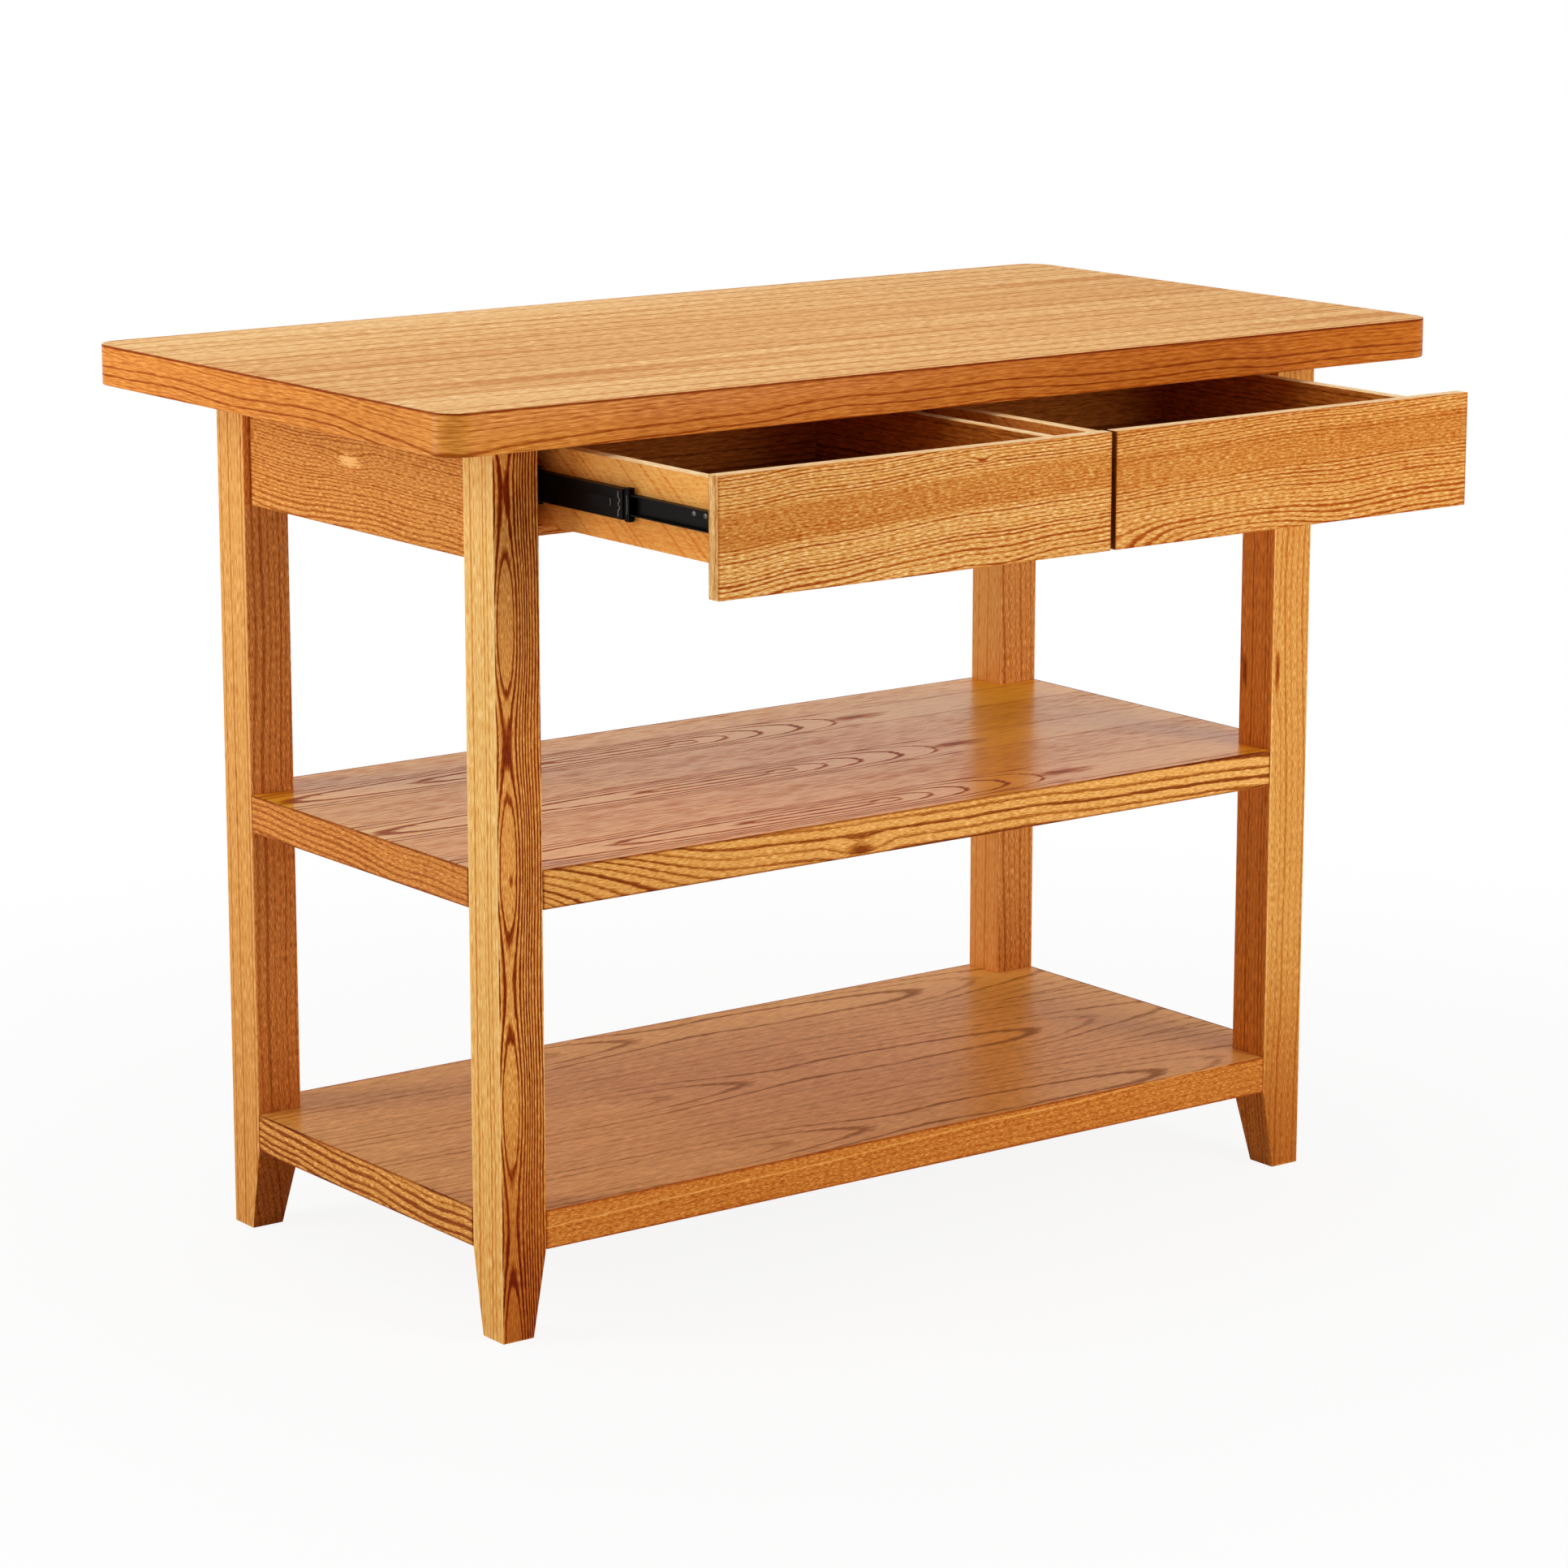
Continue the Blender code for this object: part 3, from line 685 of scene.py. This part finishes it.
# Changes of the band's shade, by the distance round the slab. The front edge darkens towards its right as
# painted shade, which fades out again round the right end.
LEFT_END_DARKER = Grade(CORNER_RUN - 0.10, CORNER_RUN, 0.06, 0.0)
FRONT_EDGE_PAINTED_SHADE = Grade(CORNER_RUN + 0.2, CORNER_RUN + 1.1, 0.0, 0.30)
PAINTED_SHADE_FADES = Grade(CORNER_RUN + 1.2, CORNER_RUN + 1.7, 0.0, 0.30)


def worktop():
    """The slab: staves on its faces, and a band of wood that runs round its edge and corners."""
    centre, half = box_of("top_slab")
    staves = Strips(width=0.107, start=-half.y, slip=3.1, shade=0.18, seam=0.25)
    face = wood("top_face", "XYZ", centre, TOP_TONES_WITH_PAINTED_SHEEN, STAVES, 11.0, half=half, edge=TOP_ARRIS_SHADE,
                strips=staves, rough=MATT_ROUGHNESS)
    band = band_wood(half.z)
    made = dressed("top_slab", TOP_EASE, [face, band], lambda normal: 0 if abs(normal.z) > FACING else 1)
    map_band(made.data, centre, half)


def band_wood(half_height):
    """The band's wood, laid along the edge by its own map."""
    material, g, shader = new_material("top_band")
    along, across, _ = g.separate(g.node("ShaderNodeUVMap", {}, uv_map="band"))
    top_arris = g.smooth(across, half_height - BAND_ARRIS_START, half_height - BAND_ARRIS_FULL)
    # painted shade along the front edge, lifted again round the right end
    change = g.minus(g.smooth(along, *FRONT_EDGE_PAINTED_SHADE), g.smooth(along, *PAINTED_SHADE_FADES))
    shade = g.add(g.smooth(along, *LEFT_END_DARKER), g.add(change, BAND_SHADE))
    values = {**TOP_BAND, "Along": along, "Across": across, "Shade": shade,
              "Edge": g.times(top_arris, BAND_ARRIS_SHADE)}
    finish_wood(g, shader, values, BAND_TONES, BAND_COAT)
    return material


def map_band(mesh, centre, half):
    """Writes each edge corner's distance round the slab and its height to a map named band."""
    straight_end = max(v.co.x for v in mesh.vertices if abs(v.co.y - centre.y - half.y) < WELD * 10)
    radius = half.x - (straight_end - centre.x)
    core_x = half.x - radius
    core_y = half.y - radius
    length = 4 * (core_x + core_y) + 2 * math.pi * radius
    rounding = 1e-4  # radians, so that no point falls just short of the start of the round

    def round_the_slab(point):
        x = point.x - centre.x
        y = point.y - centre.y
        near_x = max(-core_x, min(core_x, x))
        near_y = max(-core_y, min(core_y, y))
        turn = (math.atan2(y - near_y, x - near_x) - math.pi / 2 + rounding) % (2 * math.pi)
        straight_runs = (core_x - near_x, 2 * core_x + core_y - near_y, 3 * core_x + 2 * core_y + near_x,
                         4 * core_x + 3 * core_y + near_y)
        return straight_runs[int(turn / (math.pi / 2))] + radius * turn

    chart = mesh.uv_layers.new(name="band")
    for polygon in mesh.polygons:
        middle = round_the_slab(polygon.center)
        for loop in polygon.loop_indices:
            point = mesh.vertices[mesh.loops[loop].vertex_index].co
            distance = round_the_slab(point)
            if distance < middle - length / 2:
                distance += length
            if distance > middle + length / 2:
                distance -= length
            chart.data[loop].uv = (distance, point.z - centre.z)


def legs():
    """Each leg shows one cut on its front, another on its sides and a plain one on its back."""
    for number, place in enumerate(LEG_FRONTS):
        node = f"{place}_leg"
        centre, half = box_of(node)
        arrises = {"half": half, "edge": LEG_ARRIS_WEAR_AND_HIGHLIGHT}
        foot_darkens = Grade(-0.15, -half.z, 0.15, 0.48)
        side_darkens = Grade(half.z, -half.z, 0.10, 0.28)
        cut, tones = LEG_FRONTS[place]
        front = wood(f"{node}_front", "ZXY", centre, tones, {"Pith Depth": -half.y, **cut}, 20.0 + number,
                     grade=foot_darkens, **arrises)
        back = wood(f"{node}_back", "ZXY", centre, tones, PLAIN, 35.0 + number, **arrises)
        cut, tones = LEG_SIDES[place]
        side = wood(f"{node}_side", "ZYX", centre, tones, cut, 30.0 + number, grade=side_darkens, **arrises)
        dressed(node, LEG_EASE, [front, side, back], leg_faces)


def leg_faces(normal):
    """Chooses a leg's wood: 1 on its sides, 2 on its back, and 0 elsewhere."""
    if abs(normal.x) > FACING:
        return 1
    return 2 if normal.y > FACING else 0


def shelves():
    """Veneered panels with a thin band on each edge."""
    middle = {"strips": Strips(width=0.1735, start=-0.1125, slip=0.0, shade=0.06, seam=0.0),
              "zone": 0.036, "coat": 0.62, "rough": SHELF_ROUGHNESS}
    # The lower shelf's grade makes it lighter towards its right end, as painted light.
    lower = {"strips": Strips(width=0.2050, start=-0.1050, slip=0.0, shade=0.06, seam=0.5),
             "grade": Grade(-0.05, 0.50, 0.16, -0.08), "coat": 0.16, "rough": SHELF_ROUGHNESS}
    shelf("middle_shelf", 0, MIDDLE_TONES, ARCHES, middle, (EDGE_TONES, FLAME), (END_TONES, STREAK))
    shelf("lower_shelf", 1, LOWER_TONES, LONG_OVALS, lower, (FLECK_TONES, FLECK), (EDGE_TONES, WAVE))


def shelf(name, number, tones, cut, layout, long_edge, end):
    """One shelf: the face of its panel, and the bands on its long edges and its ends."""
    centre, half = box_of(f"{name}_panel")
    face_cut = {**cut, "Knot Depth": half.z}
    face = wood(f"{name}_face", "XYZ", centre, tones, face_cut, 40.0 + number, **layout)
    dressed(f"{name}_panel", BAND_EASE, [face])
    for turn, side in enumerate(("front", "back", "left", "right")):
        node = f"{name}_{side}_edge"
        axes, (tones, cut) = ("XZY", long_edge) if side in ("front", "back") else ("YZX", end)
        centre, half = box_of(node)
        band = wood(f"{node}_band", axes, centre, tones, cut, 50.0 + 4 * number + turn, half=half,
                    edge=EDGE_ARRIS_SHADE)
        dressed(node, BAND_EASE, [band])


def frame_boards():
    """Aprons, the rail and the boards that carry the slides."""
    boards = {"left_apron": "YZX", "right_apron": "YZX", "back_apron": "XZY", "front_rail": "XYZ"}
    carriers = ("left_slide_panel", "right_slide_panel", "drawer_divider")
    for number, (node, axes) in enumerate(boards.items()):
        frame_board(node, axes, APRON, 60.0 + number)
    for number, node in enumerate(carriers):
        frame_board(node, "YZX", STRAIGHT, 70.0 + number)


def frame_board(node, axes, cut, seed):
    """A board of the frame, in one wood."""
    centre, half = box_of(node)
    board = wood(node, axes, centre, APRON_TONES, cut, seed, half=half, edge=BOARD_ARRIS_SHADE)
    dressed(node, BOARD_EASE, [board])


def drawers():
    """Fronts with a core and a face veneer, and boxes with pale top edges."""
    fronts = {"left": LEFT_FRONT, "right": RIGHT_FRONT}
    stripes = {"left": Stripe(middle=0.0125, slope=0.04, half_width=0.020, share=0.65),
               "right": Stripe(middle=0.020, slope=0.02, half_width=0.020, share=0.5)}
    for number, label in enumerate(fronts):
        drawer_front(label, fronts[label], stripes[label], 80.0 + number)
        drawer_box(label, 90.0 + 5 * number)


# The boards of a drawer's box, with their directions and where the outer face looks, and their woods
BOX_BOARDS = {"left_side": ("YZX", (-1, 0, 0)), "right_side": ("YZX", (1, 0, 0)),
              "back": ("XZY", (0, 1, 0)), "bottom": ("XYZ", (0, 0, -1))}
# The inner wood is darker than the outer as painted shade.
BOX_WOODS = {"outer": (BOX_TONES, SPECKLED), "inner_painted_shade": (INSIDE_PAINTED_SHADE_TONES, QUARTERED),
             "rim": (CREAM_TONES, QUARTERED)}


def drawer_box(label, first_seed):
    """The sides, back and bottom, each with its own wood outside, inside and on its top edge; the inside is
    darker as painted shade.
    """
    for turn, (board, (axes, outside)) in enumerate(BOX_BOARDS.items()):
        node = f"{label}_drawer_{board}"
        centre = box_of(node)[0]
        woods = [wood(f"{node}_{face}", axes, centre, tones, cut, first_seed + turn, rough=MATT_ROUGHNESS)
                 for face, (tones, cut) in BOX_WOODS.items()]
        dressed(node, BAND_EASE, woods, box_faces(outside, board != "bottom"))


def box_faces(outside, rimmed):
    """Chooses a box board's wood: 0 on its outer face, 2 on its top edge, and 1 elsewhere."""
    def choose(normal):
        if rimmed and normal.z > FACING:
            return 2
        return 0 if normal.dot(Vector(outside)) > FACING else 1
    return choose


def drawer_front(label, figure, stripe, seed):
    """A front's core, with its end towards the other drawer darkened as painted shade for the narrow gap,
    and the veneer before it.
    """
    node = f"{label}_drawer_front"
    low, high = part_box(node)
    centre, half = box_of(node)
    body = body_of(node)
    back = wood(f"{node}_back", "XZY", centre, INSIDE_PAINTED_SHADE_TONES, STRAIGHT, seed + 3)
    rim = wood(f"{node}_rim", "XYZ", centre, CREAM_TONES, STRAIGHT, seed + 5)
    end = wood(f"{node}_end", "ZYX", centre, CORE_TONES, STRAIGHT, seed + 7)
    gap_painted_shade = wood(f"{node}_gap", "ZYX", centre, INSIDE_PAINTED_SHADE_TONES, GAP_PAINTED_SHADE_CUT, seed + 9)
    # the end that faces the other drawer gets the painted shade
    towards_gap = 1 if label == "left" else -1

    def choose(normal):
        axis = max(range(3), key=lambda index: abs(normal[index]))
        return 3 if axis == 0 and normal.x * towards_gap > 0 else axis

    core_shape = box_shape((low.x, low.y + VENEER + VENEER_GAP, low.z), high, BAND_EASE)
    core = piece(f"{node}_core", core_shape, body, (end, back, rim, gap_painted_shade), choose)
    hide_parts(node)
    face = wood(f"{node}_face", "XZY", centre, FRONT_TONES, figure, seed, half=half, edge=BOARD_ARRIS_SHADE,
                stripe=stripe)
    veneer_shape = box_shape(low, (high.x, low.y + VENEER, high.z), BAND_EASE / 2)
    piece(f"{node}_veneer", veneer_shape, body, [face])


# Finishes of the slides: dark and light colour, cells per metre, least and most roughness, and bump
COAT_COLOURS = (srgb(5, 3, 2), srgb(13, 9, 6))
COAT_PEEL_CELLS = (900.0, 900.0, 900.0)
COAT_WEAR_CELLS = (40.0, 15.0, 120.0)
COAT_WEAR = (0.4, 0.75)  # where the wear starts to show, and where it is full
COAT_ROUGHNESS = (0.24, 0.44)
COAT_BUMP = (0.15, 0.0002)
STEEL_COLOURS = (srgb(70, 66, 62), srgb(132, 127, 120))
STEEL_SCRATCH_CELLS = (1800.0, 60.0, 1800.0)
STEEL_ROUGHNESS = (0.28, 0.48)
STEEL_BUMP = (0.1, 0.0001)
STEEL_METALLIC = 0.9
PLASTIC_COLOURS = (srgb(6, 5, 5), srgb(15, 13, 12))
PLASTIC_GRAIN_CELLS = (2500.0, 2500.0, 2500.0)
PLASTIC_ROUGHNESS = (0.45, 0.60)
PLASTIC_BUMP = (0.2, 0.0001)
BLACK_SPECULAR = 0.05


def coated_steel():
    """Black coat with a fine orange-peel surface and a little wear."""
    material, g, shader = new_material("black_coat")
    peel = g.noise(g.position(), COAT_PEEL_CELLS, 1.0, 2.0)
    wear = g.noise(g.position(), COAT_WEAR_CELLS, 2.0, 3.0)
    g.link(g.mix(g.smooth(wear, *COAT_WEAR), *COAT_COLOURS), shader.inputs["Base Color"])
    g.link(g.between(wear, *COAT_ROUGHNESS), shader.inputs["Roughness"])
    add_bump(g, shader, peel, *COAT_BUMP)
    shader.inputs["Specular IOR Level"].default_value = BLACK_SPECULAR
    return material


def bare_steel():
    """Zinc-plated steel with fine scratches along its length."""
    material, g, shader = new_material("plated_steel")
    scratch = g.noise(g.position(), STEEL_SCRATCH_CELLS, 3.0, 2.0)
    g.link(g.mix(scratch, *STEEL_COLOURS), shader.inputs["Base Color"])
    g.link(g.between(scratch, *STEEL_ROUGHNESS), shader.inputs["Roughness"])
    add_bump(g, shader, scratch, *STEEL_BUMP)
    shader.inputs["Metallic"].default_value = STEEL_METALLIC
    return material


def black_plastic():
    """Moulded plastic with a fine matt grain."""
    material, g, shader = new_material("black_plastic")
    grain = g.noise(g.position(), PLASTIC_GRAIN_CELLS, 4.0, 1.0)
    g.link(g.mix(grain, *PLASTIC_COLOURS), shader.inputs["Base Color"])
    g.link(g.between(grain, *PLASTIC_ROUGHNESS), shader.inputs["Roughness"])
    add_bump(g, shader, grain, *PLASTIC_BUMP)
    shader.inputs["Specular IOR Level"].default_value = BLACK_SPECULAR
    return material


def plate(outline, face, thickness, ease):
    """A plate in the Y-Z plane, from a face at one X outwards by its thickness."""
    shape = bmesh.new()
    verts = [shape.verts.new((face, y, z)) for y, z in outline]
    base = shape.faces.new(verts)
    grown = bmesh.ops.extrude_face_region(shape, geom=[base])
    for vert in grown["geom"]:
        if isinstance(vert, bmesh.types.BMVert):
            vert.co.x += thickness
    bmesh.ops.recalc_face_normals(shape, faces=shape.faces)
    arrises = [e for e in shape.edges if e.calc_face_angle(0.0) > EDGE_ANGLE]
    ease_edges(shape, arrises, ease)
    return shape


def obround(centre_y, centre_z, length, height):
    """Outline of a slot with round ends, long in Y."""
    steps = 8
    radius = height / 2
    points = []
    for end in (1, -1):
        for step in range(steps + 1):
            turn = math.pi * (step / steps - 0.5)
            points.append((centre_y + end * (length / 2 - radius + radius * math.cos(turn)),
                           centre_z + end * radius * math.sin(turn)))
    return points


def bow(centre_y, centre_z, depth, half_height):
    """Points along a bow that bulges towards the front."""
    turns = [math.radians(degrees) for degrees in range(-75, 76, 15)]
    return [(centre_y - depth * math.cos(turn), centre_z + half_height * math.sin(turn)) for turn in turns]


def ribbon(points, width):
    """Outline of a strip of even width along a line of points in Y and Z."""
    sides = ([], [])
    for index, (y, z) in enumerate(points):
        before = points[max(index - 1, 0)]
        after = points[min(index + 1, len(points) - 1)]
        run = Vector((after[0] - before[0], after[1] - before[1])).normalized() * width / 2
        sides[0].append((y - run.y, z + run.x))
        sides[1].append((y + run.y, z - run.x))
    return sides[0] + sides[1][::-1]


# Fittings of the slides, in metres
SCREW_RADIUS = 0.0030
SCREW_HEIGHT = 0.0011
SCREW_SLOT = 0.00045  # half the width of the cross recess
SCREW_SLOT_REACH = 0.7  # of the head's radius
SCREW_SLOT_FLOOR = 0.35  # of the head's height there
SCREW_BACKS = (0.0315, 0.0490, 0.190)  # behind the drawer member's front end
SCREW_LIFT = 0.0040
SLOT_BACK = 0.033
SLOT_LENGTH = 0.0325
SLOT_HEIGHT = 0.0090
RIM = 0.0007
LIP_BACK = 0.003  # behind the slot's front end
LIP_DEPTH = 0.0016
LIP_HALF_HEIGHT = 0.0034
CLIP_BACK = 0.0050
CLIP_RISE = 0.0115
CLIP_SWAY = 0.0030
CLIP_STRIP = 0.0012
CLIP_TURNS = ((-1.0, 1), (-0.55, 1), (-0.3, -1), (0.0, 1), (0.3, -1), (0.55, 1), (1.0, 1))  # rise, sway
STOP_BOW_DEPTH = 0.0014
STOP_BOW_HALF_HEIGHT = 0.0090
LUG_HEIGHT = 0.0030
LUG_GAP = 0.0008
CLIP_PROUD = 0.0004
RIM_PROUD = 0.0002
SLOT_PROUD = 0.00024
LIP_PROUD = 0.00056
PLATE_EASE = 0.00004


def screw(shape, face, outward, y, z):
    """Adds a domed head with a cross recess to a shape, on a face at one X."""
    rings = 7
    spokes = 32
    last = None
    for ring in range(rings + 1):
        radius = SCREW_RADIUS * ring / rings
        rise = SCREW_HEIGHT * math.sqrt(1 - (ring / rings) ** 2)
        row = []
        for spoke in range(spokes):
            turn = 2 * math.pi * spoke / spokes
            dy = radius * math.cos(turn)
            dz = radius * math.sin(turn)
            crossed = min(abs(dy), abs(dz)) < SCREW_SLOT and radius < SCREW_RADIUS * SCREW_SLOT_REACH
            lift = rise * (SCREW_SLOT_FLOOR if crossed else 1.0)
            row.append(shape.verts.new((face + outward * lift, y + dy, z + dz)))
        if last:
            for spoke in range(spokes):
                beside = (spoke + 1) % spokes
                shape.faces.new((last[spoke], last[beside], row[beside], row[spoke]))
        last = row
    bmesh.ops.remove_doubles(shape, verts=shape.verts, dist=WELD)
    bmesh.ops.recalc_face_normals(shape, faces=shape.faces)


def slide_screws(slide, outward, level, steel):
    """The screws in the drawer member's channel."""
    member = f"{slide}_drawer_member"
    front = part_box(member)[0].y
    planes = sorted({round(v.co.x, 5) for v in frame["nodes"][member].data.vertices})
    channel_floor = planes[1]
    heads = bmesh.new()
    for back in SCREW_BACKS:
        screw(heads, channel_floor, outward, front + back, level + SCREW_LIFT)
    piece(f"{slide}_screws", heads, body_of(member), [steel])


def release_fittings(slide, outward, level, coat, plastic, steel):
    """The release slot with its rim and lip, and the zigzag clip, on the middle member. The slot is a black
    plate, partly painted shade for the hole.
    """
    member = f"{slide}_middle_member"
    low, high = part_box(member)
    web = low.x if outward < 0 else high.x
    body = body_of(member)
    slot_y = low.y + SLOT_BACK
    rim_outline = obround(slot_y, level, SLOT_LENGTH + 2 * RIM, SLOT_HEIGHT + 2 * RIM)
    rim = plate(rim_outline, web, outward * RIM_PROUD, 2 * PLATE_EASE)
    piece(f"{slide}_slot_rim", rim, body, [coat])
    # a black plate proud of the web stands for the slot's hole: the dark lever behind it, and the shade in
    # it as painted shade
    painted_slot_shade = plate(obround(slot_y, level, SLOT_LENGTH, SLOT_HEIGHT), web, outward * SLOT_PROUD, PLATE_EASE)
    piece(f"{slide}_slot", painted_slot_shade, body, [plastic])
    lip_line = bow(slot_y - SLOT_LENGTH / 2 + LIP_BACK, level, LIP_DEPTH, LIP_HALF_HEIGHT)
    lip = plate(ribbon(lip_line, RIM), web, outward * LIP_PROUD, PLATE_EASE)
    piece(f"{slide}_release_lip", lip, body, [steel])
    clip_y = low.y + CLIP_BACK
    zigzag = [(clip_y + CLIP_SWAY * sway / 2, level + CLIP_RISE * rise) for rise, sway in CLIP_TURNS]
    clip = plate(ribbon(zigzag, CLIP_STRIP), web, outward * CLIP_PROUD, PLATE_EASE)
    piece(f"{slide}_clip", clip, body, [steel])


def stop_fittings(slide, outward, level, plastic, steel):
    """The bow on the end stop, and the lugs above and below it."""
    member = f"{slide}_middle_member"
    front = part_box(member)[0].y
    body = body_of(member)
    low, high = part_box(f"{slide}_end_stop")
    outer = low.x if outward < 0 else high.x
    bow_line = bow((low.y + front) / 2, level, STOP_BOW_DEPTH, STOP_BOW_HALF_HEIGHT)
    wire = plate(ribbon(bow_line, RIM), outer, outward * CLIP_PROUD, PLATE_EASE)
    piece(f"{slide}_stop_bow", wire, body, [steel])
    corners = []
    for sign in (-1, 1):
        near = level + sign * (high.z - low.z) / 2
        far = near + sign * LUG_HEIGHT
        corners.append(box_shape((low.x, low.y, min(near, far)), (high.x, front - LUG_GAP, max(near, far)),
                                 BAND_EASE))
    piece(f"{slide}_stop_lugs", joined(corners), body, [plastic])


def joined(shapes):
    """Several shapes in one."""
    whole = bmesh.new()
    for shape in shapes:
        spare = bpy.data.meshes.new("spare")
        shape.to_mesh(spare)
        shape.free()
        whole.from_mesh(spare)
        bpy.data.meshes.remove(spare)
    return whole


def slides():
    """The slides' own CAD nodes get their finishes, and each slide its fittings."""
    coat = coated_steel()
    plastic = black_plastic()
    steel = bare_steel()
    finishes = {"member": coat, "stop": plastic, "retainer": steel}
    for node, shown in frame["nodes"].items():
        kind = node.rsplit("_", 1)[-1]
        if "_slide_" in node and kind in finishes:
            shown.data.materials.clear()
            shown.data.materials.append(finishes[kind])
    for label in ("left", "right"):
        for hand, outward in (("left", -1), ("right", 1)):
            slide = f"{label}_drawer_{hand}_slide"
            level = box_of(f"{slide}_drawer_member")[0].z
            slide_screws(slide, outward, level, steel)
            release_fittings(slide, outward, level, coat, plastic, steel)
            stop_fittings(slide, outward, level, plastic, steel)


def stage():
    """A pale floor that keeps a soft shadow round the part and whitens away from it."""
    bpy.ops.mesh.primitive_plane_add(size=FLOOR_SIZE)
    floor = bpy.context.object
    floor.name = "floor"
    material, g, shader = new_material("floor")
    tree = material.node_tree
    tree.nodes.remove(shader)
    matte = g.node("ShaderNodeBsdfDiffuse", {"Color": FLOOR_COLOUR})
    glow = g.node("ShaderNodeEmission", {"Strength": 1.0})
    share = g.times(seen_directly(g), g.smooth(g.length(g.position()), *FLOOR_WHITENS))
    both = g.node("ShaderNodeMixShader", {0: share, 1: matte, 2: glow})
    g.link(both, tree.nodes["Material Output"].inputs["Surface"])
    floor.data.materials.append(material)


def surround():
    """A white background that gives less light than it shows."""
    world = bpy.data.worlds.new("surround")
    bpy.context.scene.world = world
    world.use_nodes = True
    g = Graph(world.node_tree)
    background = world.node_tree.nodes["Background"]
    background.inputs["Color"].default_value = SURROUND_COLOUR
    g.link(g.between(seen_directly(g), SURROUND_LIGHT, 1.0), background.inputs["Strength"])


def seen_directly(g):
    """1 for what the camera sees, also in reflections and through glass."""
    path = g.node("ShaderNodeLightPath", {}).node.outputs
    direct = g.math("MAXIMUM", path["Is Camera Ray"], path["Is Glossy Ray"])
    return g.math("MAXIMUM", direct, path["Is Transmission Ray"])


def softbox(name, place, target, width, height, power):
    """A rectangular soft lamp that the camera doesn't see."""
    light = bpy.data.lights.new(name, "AREA")
    light.shape = "RECTANGLE"
    light.size = width
    light.size_y = height
    light.energy = power
    lamp = bpy.data.objects.new(name, light)
    lamp.location = place
    lamp.rotation_euler = (Vector(target) - Vector(place)).to_track_quat("-Z", "Y").to_euler()
    lamp.visible_camera = False
    bpy.context.scene.collection.objects.link(lamp)


def studio():
    """The lamps, the camera and the view."""
    for name, settings in SOFTBOXES.items():
        softbox(name, *settings)
    data = bpy.data.cameras.new("camera")
    data.lens = CAMERA_LENS
    data.sensor_width = CAMERA_SENSOR
    camera = bpy.data.objects.new("camera", data)
    camera.location = CAMERA_PLACE
    camera.rotation_euler = (math.radians(90.0 - CAMERA_PITCH), 0.0, -math.radians(CAMERA_YAW))
    bpy.context.scene.collection.objects.link(camera)
    bpy.context.scene.camera = camera
    bpy.context.scene.view_settings.view_transform = "Standard"


worktop()
legs()
shelves()
frame_boards()
drawers()
slides()
stage()
surround()
studio()
